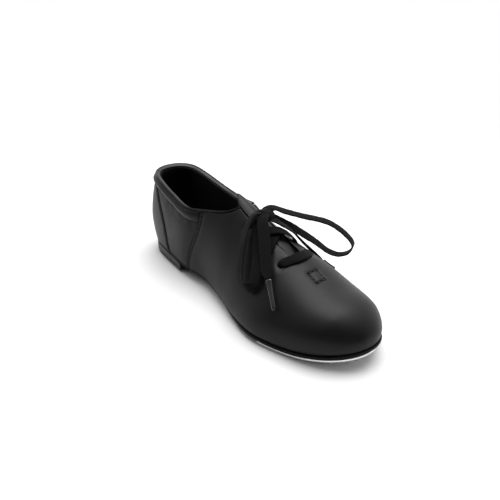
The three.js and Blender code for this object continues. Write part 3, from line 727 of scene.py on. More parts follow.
stayCloth = makeLining("stay_cloth", finishes["stayCloth"])
laceBraid = makeBraid("lace_braid", finishes["lace"])
heelStack = makeStack("heel_stack", finishes["heelStack"])
rubber = makePlainSolid("rubber", finishes["rubber"])
thread = makePlainSolid("sewing_thread", finishes["thread"])
agletPlastic = makePlainSolid("aglet_plastic", finishes["aglet"])
fibreBoard = makePlainSolid("fibre_board", finishes["board"])
foam = makePlainSolid("collar_foam", finishes["foam"])
tapMetal = makeMetal("tap_metal", finishes["tapMetal"])
steel = makeMetal("steel", finishes["steel"])
print("finishes made")

# ---- camera ----
cameraSet = {"turn": 39.35, "rise": 27.58, "distance": 0.37128, "target": (0.096, 0.0, 0.0313),
             "lens": 32.0688, "sensor": 36.0, "shift": (0.00834, 0.008)}
turn, tilt = math.radians(cameraSet["turn"]), math.radians(cameraSet["rise"])
backward = Vector((math.cos(turn) * math.cos(tilt), -math.sin(turn) * math.cos(tilt), math.sin(tilt)))
cameraData = bpy.data.cameras.new("camera")
cameraData.sensor_width = cameraSet["sensor"]
cameraData.lens = cameraSet["lens"]
cameraData.shift_x, cameraData.shift_y = cameraSet["shift"]
cameraData.clip_start = 0.01
cameraData.clip_end = 50
camera = bpy.data.objects.new("camera", cameraData)
camera.location = Vector(cameraSet["target"]) + backward * cameraSet["distance"]
camera.rotation_euler = (-backward).to_track_quat("-Z", "Y").to_euler()
bpy.context.scene.collection.objects.link(camera)
bpy.context.scene.camera = camera


# ---- laces ----
def centripetal(points, count):
    # a smooth line through the points, spaced evenly by point number
    points = np.asarray(points, float)
    full = np.vstack([2 * points[0] - points[1], points, 2 * points[-1] - points[-2]])
    out = []
    for k in np.linspace(0, len(points) - 1, count):
        i = min(int(k), len(points) - 2)
        p0, p1, p2, p3 = full[i:i + 4]
        d0, d1, d2 = [max(np.linalg.norm(b - a) ** 0.5, 1e-4) for a, b in ((p0, p1), (p1, p2), (p2, p3))]
        m1 = ((p1 - p0) / d0 - (p2 - p0) / (d0 + d1) + (p2 - p1) / d1) * d1
        m2 = ((p2 - p1) / d1 - (p3 - p1) / (d1 + d2) + (p3 - p2) / d2) * d1
        w = k - i
        out.append(p1 + m1 * w + (3 * (p2 - p1) - 2 * m1 - m2) * w ** 2 + (2 * (p1 - p2) + m1 + m2) * w ** 3)
    return np.array(out)


laceSet = {"thickness": 1.25, "around": 20, "step": 0.9, "edgeRoundness": 0.45, "cup": 0.25, "narrowFor": 7.0,
           "eyeletRows": (187, 173, 159, 145), "eyeletSide": (15, 14.5, 13.5, 12.5), "eyeletRadius": 2.0,
           "gap": 0.3}


def laceRibbon(route, width, cup=laceSet["cup"], narrowStart=0.0, narrowEnd=0.0,
               thickness=laceSet["thickness"]):
    # a flat lace along points that also say which way its flat side faces
    route = np.asarray(route, float)
    rough = centripetal(route[:, :3], 200)
    run = runAlong(rough)
    count = max(int(run[-1] / laceSet["step"]), 8)
    at = np.linspace(0, run[-1], count + 1)
    line = np.column_stack([np.interp(at, run, rough[:, k]) for k in range(3)])
    facing = centripetal(route[:, 3:], 200)
    facing = unit(np.column_stack([np.interp(at, run, facing[:, k]) for k in range(3)]))
    ahead = unit(np.gradient(line, axis=0))
    across = unit(np.cross(ahead, facing))
    face = unit(np.cross(across, ahead))
    angles = (np.arange(laceSet["around"]) + 0.5) / laceSet["around"] * 2 * np.pi
    sideways = np.sign(np.cos(angles)) * np.abs(np.cos(angles)) ** laceSet["edgeRoundness"]
    # woven lace is a little thicker near its two edges
    through = np.sin(angles) * (1 + 0.18 * np.exp(-((np.abs(sideways) - 0.82) / 0.12) ** 2))
    edgeRun = runAlong(np.column_stack([sideways * width / 2, through * thickness / 2]))
    rings, uv = [], []
    for i, (p, s, f) in enumerate(zip(line, across, face)):
        fromStart, fromEnd = at[i] / laceSet["narrowFor"], (at[-1] - at[i]) / laceSet["narrowFor"]
        narrow = 1 - narrowStart * max(0, 1 - fromStart) ** 2 - narrowEnd * max(0, 1 - fromEnd) ** 2
        waver = 1 + 0.025 * math.sin(at[i] * 0.9) + 0.02 * math.sin(at[i] * 0.37 + 1)
        half = width / 2 * narrow * waver
        sag = cup * (sideways ** 2) * (0.7 + 0.6 * math.sin(at[i] * 0.21))
        deep = through * thickness / 2 * (2 - narrow) - sag
        rings.append(p + np.outer(sideways * half, s) + np.outer(deep, f))
        uv.append(np.column_stack([edgeRun * 0.001, np.full(len(edgeRun), at[i] * 0.001)]))
    verts, faces = tubeAlong(rings)
    return verts, faces, np.vstack(uv), line, at[-1]


def onUpper(x, y, lift):
    # a lace point over the upper, lifted off it, that faces outwards
    u, t, side = placeOnLast([x], [y if abs(y) > 0.05 else math.copysign(0.05, y)])
    normal = lastNormal(u, t, side)[0]
    at = lastPoint(u, t, side)[0] + normal * lift
    return [at[0], y, at[2], *normal]


def laced(name, route, width, **options):
    verts, faces, uv, line, run = laceRibbon(route, width, **options)
    made = makeObject(name, verts, faces, uv)
    finishPiece(made, laceBraid, "shoe", [name])
    return made, line, run


def mirrored(points):
    return [(x, -y, lift) for x, y, lift in points]


row1, row2, row3, row4 = laceSet["eyeletRows"]
side1, side2, side3, side4 = laceSet["eyeletSide"]
between = (row2 + row3) / 2
lift1 = laceSet["gap"] + 0.65 + 0.1
lift2 = lift1 + 1.3 + laceSet["gap"] + 1.4
barLeft = [(row1 + 1, side1, -2.4), (row1 + 0.3, side1 - 0.4, 0.7), (row1 + 2.2, side1 / 1.6, lift1 + 0.4),
           (row1 + 3.6, side1 / 3, lift1 + 0.7)]
riserLeft = [(row4, side4, -2.2), (row4 + 0.4, side4 - 1.6, 1.3), (row4 + 2, side4 / 2, lift1 + 0.9),
             (row4 + 4, 3, lift1 + 1.4)]

# each lace's width and its points: x, y and the lift off the upper, which is below zero inside an eyelet
lacing = {
    "lace_bar": (7.6, mirrored(barLeft) + [(row1 + 4, 0, lift1 + 0.8)] + barLeft[::-1]),
    "lace_cross_low": (7.4, [(row2, -side2, -2.2), (row2 - 0.8, -side2 + 0.8, 0.9),
                             (row2 - 4, -side2 / 2, lift1 + 0.9), (between, 0, lift1 + 0.7),
                             (row3 + 4, side3 / 2, lift1 + 0.9), (row3 + 0.8, side3 - 0.8, 0.9),
                             (row3, side3, -2.2)]),
    "lace_cross_high": (7.4, [(row3, -side3, -2.2), (row3 + 0.6, -side3 + 1.2, 1.2),
                              (row3 + 3, -side3 / 2, lift2), (between, 0, lift2 + 0.3),
                              (row2 - 3, side2 / 2, lift2), (row2 - 0.6, side2 - 1.2, 1.2),
                              (row2, side2, -2.2)]),
    "lace_riser_right": (7.0, mirrored(riserLeft)),
    "lace_riser_left": (7.0, riserLeft),
}
for name, (width, points) in lacing.items():
    ends = {} if "riser" in name else {"narrowEnd": 0.42}
    laced(name, [onUpper(*p) for p in points], width, narrowStart=0.42, **ends)

# The bow: each row is a point and the way the flat side faces there. The left end and its tip lie on the
# upper, so their rows are x, y and lift.
bow = {
    "loopWidth": 8.0, "endWidth": 8.6, "endLeftWidth": 8.2,
    "loopRight": [[150.9, -2.8, 76.3, 0.1, -0.1, 1], [150.5, -8.8, 75.8, -0.4, -0.4, 1],
                  [151.2, -14.4, 71.6, -0.3, -0.8, 0.6], [153.6, -19.6, 65.5, -0.25, -1, 0.5],
                  [156.8, -24.6, 59.5, -0.2, -1, 0.45], [161.5, -30.6, 49.5, -0.2, -1, 0.4],
                  [165, -34, 43.5, -0.2, -1, 0.3], [169, -36.8, 38.4, -0.2, -1, 0],
                  [174, -38.2, 35.8, -0.1, -0.9, -0.3], [179, -38.2, 36.6, 0.2, -0.9, 0],
                  [181.8, -36, 39.4, 0.4, -0.8, 0.3], [179.6, -31.8, 44.2, 0.4, -0.8, 0.5],
                  [174.5, -26.2, 50.2, 0.3, -0.8, 0.6], [168.3, -20.6, 56.8, 0.2, -0.7, 0.7],
                  [161.5, -14.8, 64.2, 0.2, -0.6, 0.8], [156, -10.2, 70, 0.1, -0.5, 0.9],
                  [153.5, -3.5, 73.2, 0, -0.2, 1]],
    "endRight": [[152.5, -1.0, 76.6, 0.35, -0.1, 1], [158.6, -7.6, 74.2, 0.3, -0.5, 0.9],
                 [168.8, -14.9, 65.6, 0.3, -0.6, 0.8], [176.2, -20.4, 58.8, 0.25, -0.65, 0.8],
                 [182.8, -25, 52.4, 0.2, -0.65, 0.75], [190, -29.4, 46.2, 0.2, -0.65, 0.7]],
    "loopLeft": [[152, 1.5, 76.4, 0.25, 0.1, 1], [152, 8.5, 77.5, 0.27, 0.19, 0.94],
                 [158.5, 16.5, 74, 0.34, 0.14, 0.93], [164.5, 27, 70, 0.34, 0.16, 0.93],
                 [170, 38.5, 66, 0.35, 0.16, 0.92], [177, 48.5, 61.5, 0.46, 0.18, 0.87],
                 [186, 56, 54, 0.61, 0.27, 0.74], [192, 60, 45, 0.88, 0.4, 0.27],
                 [189.5, 59.5, 37.5, 0.65, 0.39, -0.65], [182, 56.5, 33, 0.06, 0.08, -1],
                 [175.5, 51.5, 35, -0.53, -0.25, -0.81], [170, 44, 42, -0.67, -0.3, -0.7],
                 [166.5, 34, 50.5, -0.66, -0.1, -0.75], [164, 23, 59, -0.6, 0.15, -0.8],
                 [160, 12, 66.5, -0.6, 0.2, -0.8], [154.5, 3, 74, -0.3, -0.3, -0.9]],
    "endLeft": [[163, 7, 7.4], [169, 14, 7], [174.5, 22, 4.6], [179, 30, 3.4], [182, 35.5, 4]],
    "agletRight": [[190.9, -29.9, 45.6], [205.7, -37.6, 31.6]],
    "agletLeft": [182.6, 36.6, 4.2], "agletLeftReach": [4, 10, -8],
}
knotAt = onUpper(151, 0, 6.2)
endLeftRoute = [[152, 0, knotAt[2], 0.2, 0, 1]] + [onUpper(*p) for p in bow["endLeft"]]
loopRight, loopRightLine, loopRightRun = laced("lace_loop_right", bow["loopRight"], bow["loopWidth"])
endRight, endRightLine, endRightRun = laced("lace_end_right", bow["endRight"], bow["endWidth"], narrowEnd=0.5)
loopLeft, loopLeftLine, loopLeftRun = laced("lace_loop_left", bow["loopLeft"], bow["loopWidth"])
endLeft, endLeftLine, endLeftRun = laced("lace_end_left", endLeftRoute, bow["endLeftWidth"], narrowStart=0.3,
                                         narrowEnd=0.5)

# The knot: each turn of lace is its offset across, reach, height, skew, start, width and thickness.
knotSet = {
    "tilt": 0.42, "cup": 0.7,
    "turns": [(0.3, 5.4, 3.1, 0.8, -1.4, 8.4, 1.3), (-3.6, 4.4, 2.2, -0.6, -1.2, 5.4, 1.5),
              (4.0, 4.4, 2.3, 0.5, -1.2, 5.4, 1.5)],
}


def knotWraps():
    # a lace folded over the crossing, with the tucked turns showing at its sides
    middle = np.array([knotAt[0], 0, knotAt[2]])
    tiltKnot = knotSet["tilt"]
    along = np.array([math.cos(tiltKnot), 0, -math.sin(tiltKnot)])
    up = np.array([math.sin(tiltKnot), 0, math.cos(tiltKnot)])
    across = np.array([0.0, 1.0, 0.0])
    parts, uvs = [], []
    for offset, reach, height, skew, start, width, thickness in knotSet["turns"]:
        route = []
        for a in start + np.linspace(0, 2 * np.pi, 15):
            p = (middle + across * (offset + skew * math.cos(a)) + along * reach * math.cos(a)
                 + up * height * math.sin(a))
            n = along * math.cos(a) / reach + up * math.sin(a) / height
            route.append([*p, *(n / np.linalg.norm(n))])
        verts, faces, uv, _, _ = laceRibbon(route, width, cup=knotSet["cup"], thickness=thickness)
        parts.append((verts, faces))
        uvs.append(uv)
    verts, faces = merged(parts)
    made = makeObject("lace_knot", verts, faces, np.vstack(uvs))
    return finishPiece(made, laceBraid, "shoe", ["lace_knot"])


knotWraps()

# the tip's profile: how far along, and its size there
agletSet = {
    "radius": 1.9, "flat": 0.72,
    "profile": ((-0.02, 0.72), (0.0, 0.98), (0.02, 1.05), (0.05, 1.05), (0.08, 1.0), (0.3, 0.95), (0.6, 0.9),
                (0.9, 0.86), (0.96, 0.8), (0.99, 0.62), (1.0, 0.3)),
}


def agletTube(name, start, end):
    # a pinched plastic tip: wide and flat where it grips the lace, round at its end
    start, end = np.array(start, float), np.array(end, float)
    ahead = unit(end - start)
    across = unit(np.cross(ahead, [0.3, -0.8, 0.5]))
    face = np.cross(across, ahead)
    angles = fullTurn(24)
    seam = 1 - 0.07 * np.exp(-((angles - 1.2) / 0.16) ** 2)
    rings = []
    for k, size in agletSet["profile"]:
        wide = agletSet["radius"] * size * (1 + 0.22 * (1 - smoothstep(k, 0, 0.5)))
        pinch = agletSet["flat"] + (1 - agletSet["flat"]) * smoothstep(k, 0.1, 0.8)
        thin = agletSet["radius"] * size * pinch * 0.9
        rings.append(start + (end - start) * k + np.outer(np.cos(angles) * wide * seam, across)
                     + np.outer(np.sin(angles) * thin * seam, face))
    verts, faces = tubeAlong(rings)
    return finishPiece(makeObject(name, verts, faces, sharpAngle=60), agletPlastic, "shoe",
                       [name])


agletRight = agletTube("aglet_right", *bow["agletRight"])
leftFrom = np.array(onUpper(*bow["agletLeft"])[:3])
agletLeft = agletTube("aglet_left", leftFrom, leftFrom + bow["agletLeftReach"])


def declareCord(piece, line, run):
    tuple(toFrame(line[0]))
    [tuple(p) for p in toFrame(line)]


declareCord(loopRight, loopRightLine, loopRightRun)
declareCord(loopLeft, loopLeftLine, loopLeftRun)
declareCord(endRight, endRightLine, endRightRun)
declareCord(endLeft, endLeftLine, endLeftRun)
print("laces made: loops %.0f and %.0f mm, ends %.0f and %.0f mm"
      % (loopRightRun, loopLeftRun, endRightRun, endLeftRun))

# ---- upper ----
upperSet = {
    "leather": 1.4, "quarterTop": 0.6, "gap": 0.3, "liningStart": 3.0, "liningEnd": 4.0, "tongueStart": 4.5,
    "bindingDepth": 1.8, "collarDepth": 11.0, "padStandOut": 1.8, "throatEnd": 193.0, "throatHalf": 5.5,
    "throatBack": 109.0, "throatWidens": 3.0, "seamRows": (1.7, 4.3), "backRows": (1.6,), "stitchDepth": 0.8,
}
edgeDrop = upperSet["bindingDepth"] + upperSet["gap"]
collarTop = upperSet["collarDepth"] + upperSet["gap"]
halfGap = upperSet["gap"] / 2
throatFront = upperSet["throatEnd"] - upperSet["throatHalf"]


def slotHalf(x):
    # the throat is round in front and a little wider towards the back
    share = (throatFront - x) / (throatFront - upperSet["throatBack"])
    return upperSet["throatHalf"] + upperSet["throatWidens"] * share


@remembered
def throatMeetsRim(side, drop):
    def below(x):
        u, t, s = placeOnLast(x, side * slotHalf(x))
        p = lastPoint(u, t, s)
        return p[..., 2] <= rimHeight(x) - drop
    return float(bisect(below, np.array([118.0]), np.array([138.0]), 16)[0])


def vampRing():
    # right side from the toe to the throat's front end, then the left side back to the toe
    halves = []
    for side in (-1, 1):
        throatX = throatMeetsRim(side, edgeDrop)
        slot = [(x, side * slotHalf(x)) for x in np.linspace(throatX, throatFront, 30)]
        slot += [(throatFront + upperSet["throatHalf"] * math.sin(a),
                  side * upperSet["throatHalf"] * math.cos(a)) for a in np.linspace(0.12, math.pi / 2, 12)]
        throatU = float(placeOnLast([throatX], [side * slotHalf(throatX)])[0][0])
        halves.append([alongFeather(frontSkin, side, 1, footOf(side, seamX, halfGap), 220),
                       upLine(frontSkin, side, seamX, halfGap, None, edgeDrop),
                       alongRim(frontSkin, side, topOf(side, seamX, halfGap, edgeDrop), throatU, edgeDrop),
                       frontSkin.onPlan(slot)])
    right, left = halves
    return tidyRing(right + [part[::-1] for part in left[::-1]])


def circleAt(centre, radius, count):
    turns = fullTurn(count)
    return np.asarray(centre) + radius * np.column_stack([np.cos(turns), np.sin(turns)])


vampOutline = vampRing()
eyelets = [circleAt(frontSkin.onPlan([(x, s * y)])[0], laceSet["eyeletRadius"], 22)
           for x, y in zip(laceSet["eyeletRows"], laceSet["eyeletSide"]) for s in (-1, 1)]
seamRows = [upLine(frontSkin, side, seamX, row, None, edgeDrop + 0.5, 60)
            for side in (-1, 1) for row in upperSet["seamRows"]]


def vampShape(flat, edge):
    # the leather ripples a little behind the toe and sinks round the eyelets
    x, y = flat.T
    ripple = 0.10 * np.sin(x / 9.0 + np.sin(y / 13.0) * 1.3) * np.sin(y / 11.0 + 0.6)
    toeward = smoothstep(x, frontSkin.run[-1] * 0.62, frontSkin.run[-1] * 0.75)
    sunk = sum(0.28 * np.exp(-((flat - e.mean(0)) ** 2).sum(1) / 3.4 ** 2) for e in eyelets)
    return ripple * (1 - toeward) + sunk


# a small stitched square ties the throat's end down
tackSet = {"x": 208.5, "half": 4.4, "pitch": 2.7, "stitch": 1.9}
tackSides = []
corner = [(-1, -1), (1, -1), (1, 1), (-1, 1), (-1, -1)]
for (x0, y0), (x1, y1) in zip(corner[:-1], corner[1:]):
    k = np.linspace(0, 1, 9)
    tackSides.append(frontSkin.onPlan(np.column_stack([
        tackSet["x"] + tackSet["half"] * (x0 + (x1 - x0) * k), tackSet["half"] * (y0 + (y1 - y0) * k)])))

vamp = buildSheet("vamp", frontSkin, vampOutline, 0.0, upperSet["leather"], holes=eyelets, roundOuter=0.6,
                  shape=vampShape, grooves=[{"line": line, "depth": upperSet["stitchDepth"], "width": 0.62}
                                            for line in seamRows + tackSides])
finishPiece(vamp, upperLeather, "shoe", ["vamp"])
sewStitches("seam_stitches", frontSkin, seamRows, 0.3)
sewStitches("throat_tack", frontSkin, tackSides, 0.2, pitch=tackSet["pitch"], stitch=tackSet["stitch"],
            radius=0.34)
print("vamp made")


def quarterRing(side):
    rearU, frontU = topOf(side, backEdgeX, halfGap, collarTop), topOf(side, seamX, -halfGap, collarTop)
    rearFoot, frontFoot = footOf(side, backEdgeX, halfGap), footOf(side, seamX, -halfGap)
    return tidyRing([alongFeather(rearSkin, side, rearFoot, frontFoot),
                     upLine(rearSkin, side, seamX, -halfGap, None, collarTop),
                     alongRim(rearSkin, side, frontU, rearU, collarTop),
                     upLine(rearSkin, side, backEdgeX, halfGap, None, collarTop)[::-1]])


def quarterShape(flat, edge):
    # the thin leather fills out between its seams and pulls in at them
    u, t, side = rearSkin.toSkin(flat)
    p = lastPoint(u, t, side)
    below = rimHeight(p[:, 0]) - upperSet["collarDepth"] - p[:, 2]
    pucker = 0.16 * np.sin(flat[:, 0] / 2.1 + np.sin(flat[:, 0] / 5.3)) * np.exp(-(below / 4.5) ** 2)
    full = -0.45 * smoothstep(edge, 0, 9)
    return pucker + full


for side, name in ((-1, "right"), (1, "left")):
    quarter = buildSheet(f"quarter_{name}", rearSkin, quarterRing(side), upperSet["quarterTop"],
                         upperSet["leather"], roundOuter=0.25, roundInner=0.1, shape=quarterShape)
    finishPiece(quarter, upperLeather, "shoe", [f"quarter_{name}"])


def bothSides(halfOf):
    # one ring from a half's stretches: out along the left side, back along the right
    right, left = halfOf(-1), halfOf(1)
    return tidyRing(left + [part[::-1] for part in right[::-1]])


def heelRing(line, drop):
    # from the heel's middle to a line on either side, and from the feather line to under the rim
    def halfOf(side):
        return [alongFeather(rearSkin, side, 0, footOf(side, line, -halfGap)),
                upLine(rearSkin, side, line, -halfGap, None, drop),
                alongRim(rearSkin, side, topOf(side, line, -halfGap, drop), 0, drop)]
    return bothSides(halfOf)


backRows = [upLine(rearSkin, side, backEdgeX, -row, None, upperSet["collarDepth"] + 0.9, 50)
            for side in (-1, 1) for row in upperSet["backRows"]]
backPanel = buildSheet("back_panel", rearSkin, heelRing(backEdgeX, collarTop), 0.0, upperSet["leather"],
                       roundOuter=0.55, grooves=[{"line": row, "depth": upperSet["stitchDepth"], "width": 0.55}
                                                 for row in backRows])
finishPiece(backPanel, upperLeather, "shoe", ["back_panel"])
sewStitches("back_panel_stitches", rearSkin, backRows, 0.3)
print("quarters and back panel made")


def padFade(x):
    return upperSet["padStandOut"] * (1 - smoothstep(x, float(seamX(60)) - 14, float(seamX(60)) + 4))


def collarHalf(side):
    low, high = upperSet["collarDepth"], edgeDrop
    return [alongRim(rearSkin, side, 0, topOf(side, seamX, -halfGap, low), low),
            upLine(rearSkin, side, seamX, -halfGap, low, high),
            alongRim(rearSkin, side, topOf(side, seamX, -halfGap, high), 0, high)]


def collarShape(flat, edge):
    # padding: fullest above the middle of the band, drawn in at its lower edge and towards the binding
    u, t, side = rearSkin.toSkin(flat)
    p = lastPoint(u, t, side)
    drop = rimHeight(p[:, 0]) - p[:, 2]
    k = np.clip((upperSet["collarDepth"] - drop) / (upperSet["collarDepth"] - edgeDrop), 0, 1)
    swell = np.sin(np.pi * np.clip(0.84 * k, 0, 1)) ** 1.1
    pucker = 0.14 * np.sin(flat[:, 0] / 2.3 + 1.7 * np.sin(flat[:, 0] / 7.1)) * np.exp(-(k / 0.3) ** 2)
    ends = smoothstep(np.minimum(edge, 7), 0, 7) ** 0.5
    foot = 0.5 * (1 - smoothstep(k, 0, 0.35))
    return foot - (padFade(p[:, 0]) + 0.5 * ends) * swell + pucker


collar = buildSheet("collar", rearSkin, bothSides(collarHalf), 0.0, upperSet["liningStart"] - upperSet["gap"],
                    roundOuter=0.25, shape=collarShape, spacing=1.9)
finishPiece(collar, upperLeather, "shoe", ["collar_leather", "collar_foam"])


def bindingRoll():
    # the folded strip over the top edge, from one side of the throat round the heel to the other
    ends = [float(placeOnLast([throatMeetsRim(side, 0.9) + 0.4], [side * 8.2])[0][0]) for side in (-1, 1)]
    stations = ([(-1, u) for u in np.linspace(ends[0], 0, 150)]
                + [(1, u) for u in np.linspace(0, ends[1], 150)[1:]])
    side, u = np.array(stations).T
    t = underRim(u, side, upperSet["bindingDepth"] / 2)
    # its section stands highest near the outer side and slopes down towards the inner one
    turns = fullTurn(36)
    widths = np.sign(np.cos(turns)) * np.abs(np.cos(turns)) ** 0.75
    roll = 0.2 + 0.95 * np.exp(-((np.cos(turns) - 0.66) / 0.26) ** 2)
    slope = np.minimum(0, 0.8 * (np.cos(turns) - 0.3))
    heights = np.where(np.sin(turns) > 0, np.abs(np.sin(turns)) ** 0.5 * roll + slope,
                       np.sin(turns) * 0.8 + slope)
    inner = upperSet["liningStart"] - 0.1
    rings = []
    for i, (base, normal) in enumerate(zip(lastPoint(u, t, side), lastNormal(u, t, side))):
        full = 0.3 + 0.7 * float(smoothstep(min(i, len(u) - 1 - i), 0, 9))
        outward = unit(np.array([normal[0], normal[1], 0.0]))
        out = float(padFade(base[0])) * 0.55 + 0.25
        middle, reach = (inner - out) / 2, (inner + out) / 2
        rings.append(base - outward * middle + np.outer(widths * reach * (0.6 + 0.4 * full), outward)
                     + np.outer(heights * full, [0, 0, 1.0]))
    verts, faces = tubeAlong(rings)
    return makeObject("topline_binding", verts, faces, sharpAngle=70)


finishPiece(bindingRoll(), bindingLeather, "shoe", ["topline_binding"])

vampLining = buildSheet("vamp_lining", frontSkin, vampOutline, upperSet["liningStart"], upperSet["liningEnd"],
                        holes=eyelets, spacing=3.6, roundOuter=0.2, roundInner=0.3)
finishPiece(vampLining, liningCloth, "shoe", ["vamp_lining"])
quarterLining = buildSheet("quarter_lining", rearSkin, heelRing(seamX, edgeDrop), upperSet["liningStart"],
                           upperSet["liningEnd"], spacing=3.2, roundOuter=0.2, roundInner=0.3)
finishPiece(quarterLining, liningCloth, "shoe", ["quarter_lining"])
print("collar, binding and linings made")

# ---- tongue ----
tongueSet = {"top": 122.3, "hinge": 198.0, "topHalf": 21.0, "baseHalf": 15.0, "tipHalf": 9.0,
             "roundedFor": 25.0, "cornerFor": 6.0, "fill": 3.9, "fillTo": 194.0}


def tongueRing(inset):
    top, hinge = tongueSet["top"] + inset, tongueSet["hinge"] - inset
    wide, base, tip = (tongueSet[k] - inset for k in ("topHalf", "baseHalf", "tipHalf"))
    bend, cornerAt = tongueSet["roundedFor"], hinge - tongueSet["cornerFor"]
    half = [(top + bend * k ** 1.35, 0.06 + (wide - 1) * k) for k in np.linspace(0, 1, 26)]
    half.extend((x, wide + (base - wide) * (x - top) / (cornerAt - top))
                for x in np.linspace(top + bend + 2, cornerAt, 28))
    half.extend((cornerAt + tongueSet["cornerFor"] * k, base + (tip - base) * k)
                for k in np.linspace(0.2, 1, 5))
    half.extend((hinge, y) for y in np.linspace(tip - 1, 0.06, 6))
    left = frontSkin.onPlan(half)
    right = frontSkin.onPlan([(x, -y) for x, y in half[::-1]])
    return tidyRing([np.vstack([left, right, left[:1]])])


def tongueShape(flat, edge):
    u, t, side = frontSkin.toSkin(flat)
    p = lastPoint(u, t, side)
    # it fills the throat between the facings at the top and drops away under the lacing
    narrow = np.maximum(slotHalf(p[:, 0]) - 0.2, 2)
    fill = (tongueSet["fill"] * (0.3 + 0.7 * smoothstep(p[:, 0], 120, 138))
            * (1 - smoothstep(p[:, 0], 165, tongueSet["fillTo"]))
            * (1 - smoothstep(np.abs(p[:, 1]), narrow - 0.6, narrow)))
    wave = 0.2 * np.sin(p[:, 0] / 6.0) * np.exp(-(p[:, 1] / 9.0) ** 2)
    return wave - fill


tongueTopStart = upperSet["tongueStart"]
tongue = buildSheet("tongue", frontSkin, tongueRing(0), tongueTopStart, tongueTopStart + 1.4, roundOuter=0.5,
                    shape=tongueShape, spacing=1.3)
finishPiece(tongue, upperLeather, "tongue", ["tongue"])
tongueLining = buildSheet("tongue_lining", frontSkin, tongueRing(1), tongueTopStart + 1.7,
                          tongueTopStart + 2.7, spacing=1.6, roundOuter=0.2, roundInner=0.3,
                          shape=tongueShape)
finishPiece(tongueLining, liningCloth, "tongue", ["tongue_lining"])
print("tongue made")

# ---- bottom ----
soleSet = {
    "edge": 1.1, "tuck": 0.7, "edgeFrom": (140, 185), "thickness": 2.4, "boardThickness": 0.9,
    "tapThickness": 1.8, "padThickness": 1.3, "heelBreast": 76.0, "tapBack": 190.0, "padFrom": 118.0,
    "blockBottom": 4.4, "liftThickness": 2.0, "toeScrews": [(243, 0), (207, -33), (207, 35)],
    "heelScrews": [(17, 0), (52, -19), (52, 19)], "headRadius": 3.2, "seatRadius": 3.5,
    "shankHoleRadius": 1.9, "stackGrooves": (0.34, 0.67),
}
soleTop = -halfGap
soleBottom = soleTop - soleSet["thickness"]
boardTop = soleBottom - upperSet["gap"]
tapTop = boardTop - soleSet["boardThickness"] - upperSet["gap"]


class DownPlan(Plan):
    # the same, seen from below: depth runs up
    def place(self, flat, depth):
        return np.column_stack([flat, self.height(flat[:, 0]) + depth])

    def normal(self, flat):
        return np.tile([0.0, 0.0, -1.0], (len(flat), 1))


def over(height):
    return lambda x: featherHeight(x) + height


def level(height):
    return lambda x: np.full(np.shape(x), float(height))


def soleEdge(u, side, inset):
    # the sole's outline, moved inwards by a distance or by a function of x
    u = np.asarray(u, float)
    at = lastPoint(u, 0, side)[..., :2]
    ahead = (lastPoint(np.minimum(u + 1e-4, 1), 0, side)
             - lastPoint(np.maximum(u - 1e-4, 0), 0, side))[..., :2]
    ahead[u < 1e-6] = (0, side)
    ahead[u > 1 - 1e-6] = (0, -side)
    ahead = unit(ahead)
    if callable(inset):
        inset = inset(at[..., :1])
    return at + np.stack([ahead[..., 1], -ahead[..., 0]], -1) * side * inset


def cutAt(side, inset, cut):
    def beyond(u):
        p = soleEdge(u, side, inset)
        return p[..., 0] > cut(p[..., 1])
    return float(bisect(beyond, np.array([0.02]), np.array([0.98]))[0])


def soleRing(inset, rearCut=None, frontCut=None):
    # the outline between two cuts, each given as x for every y
    ends = {}
    for side in (-1, 1):
        ends[side] = (0.0 if rearCut is None else cutAt(side, inset, rearCut),
                      1.0 if frontCut is None else cutAt(side, inset, frontCut))
    right = soleEdge(np.linspace(*ends[-1], 260), -1, inset)
    left = soleEdge(np.linspace(*ends[1], 260), 1, inset)
    parts = [right]
    if frontCut is not None:
        y = np.linspace(right[-1, 1], left[-1, 1], 60)
        parts.append(np.column_stack([frontCut(y), y]))
    parts.append(left[::-1])
    if rearCut is not None:
        y = np.linspace(left[0, 1], right[0, 1], 60)
        parts.append(np.column_stack([rearCut(y), y]))
    return tidyRing(parts)


def breastCut(inset):
    return lambda y: soleSet["heelBreast"] - 3 * (1 - (y / 60) ** 2) - inset


def tapCut(back):
    return lambda y: back + 7 * (1 - (y / 70) ** 2)



def bottomPiece(name, ring, height, thickness, material, rounded=(0.5, 0.4), wall=(), holes=(),
                spacing=4.0):
    made = buildSheet(name, Plan(height), ring, 0.0, thickness, holes=holes, roundOuter=rounded[0],
                      roundInner=rounded[1], wall=wall, spacing=spacing)
    return finishPiece(made, material, "shoe", [name])


def weltReach(x):
    # the edge shows round the forepart and is trimmed under at the waist and heel
    return soleSet["tuck"] - (soleSet["tuck"] + soleSet["edge"]) * smoothstep(x, *soleSet["edgeFrom"])


def holesAt(screws, radius):
    return [circleAt(place, radius, 28) for place in screws]


def blockFoot(flat):
    return featherHeight(flat[:, 0]) + boardTop - soleSet["blockBottom"]


seats = {key: holesAt(soleSet[key], soleSet["seatRadius"]) for key in ("toeScrews", "heelScrews")}
stackRows = [row for g in soleSet["stackGrooves"]
             for row in ((g - 0.035, -0.03), (g, 0.2), (g + 0.035, -0.03))]
bottomPiece("outsole", soleRing(weltReach), over(soleTop), soleSet["thickness"], soleLeather,
            (0.7, 0.55), [(0.3, -0.05), (0.7, -0.05)])
bottomPiece("tap_board", soleRing(0.2, tapCut(soleSet["tapBack"] - 2)), over(boardTop),
            soleSet["boardThickness"], soleLeather, (0.25, 0.2))
bottomPiece("toe_tap", soleRing(0.6, tapCut(soleSet["tapBack"])), over(tapTop), soleSet["tapThickness"],
            tapMetal, (0.3, 0.3), [(0.5, -0.06)], seats["toeScrews"])
bottomPiece("sole_pad", soleRing(2.5, lambda y: soleSet["padFrom"] + 0 * y, tapCut(soleSet["tapBack"] - 2.3)),
            over(boardTop), soleSet["padThickness"], rubber, (0.3, 0.3))
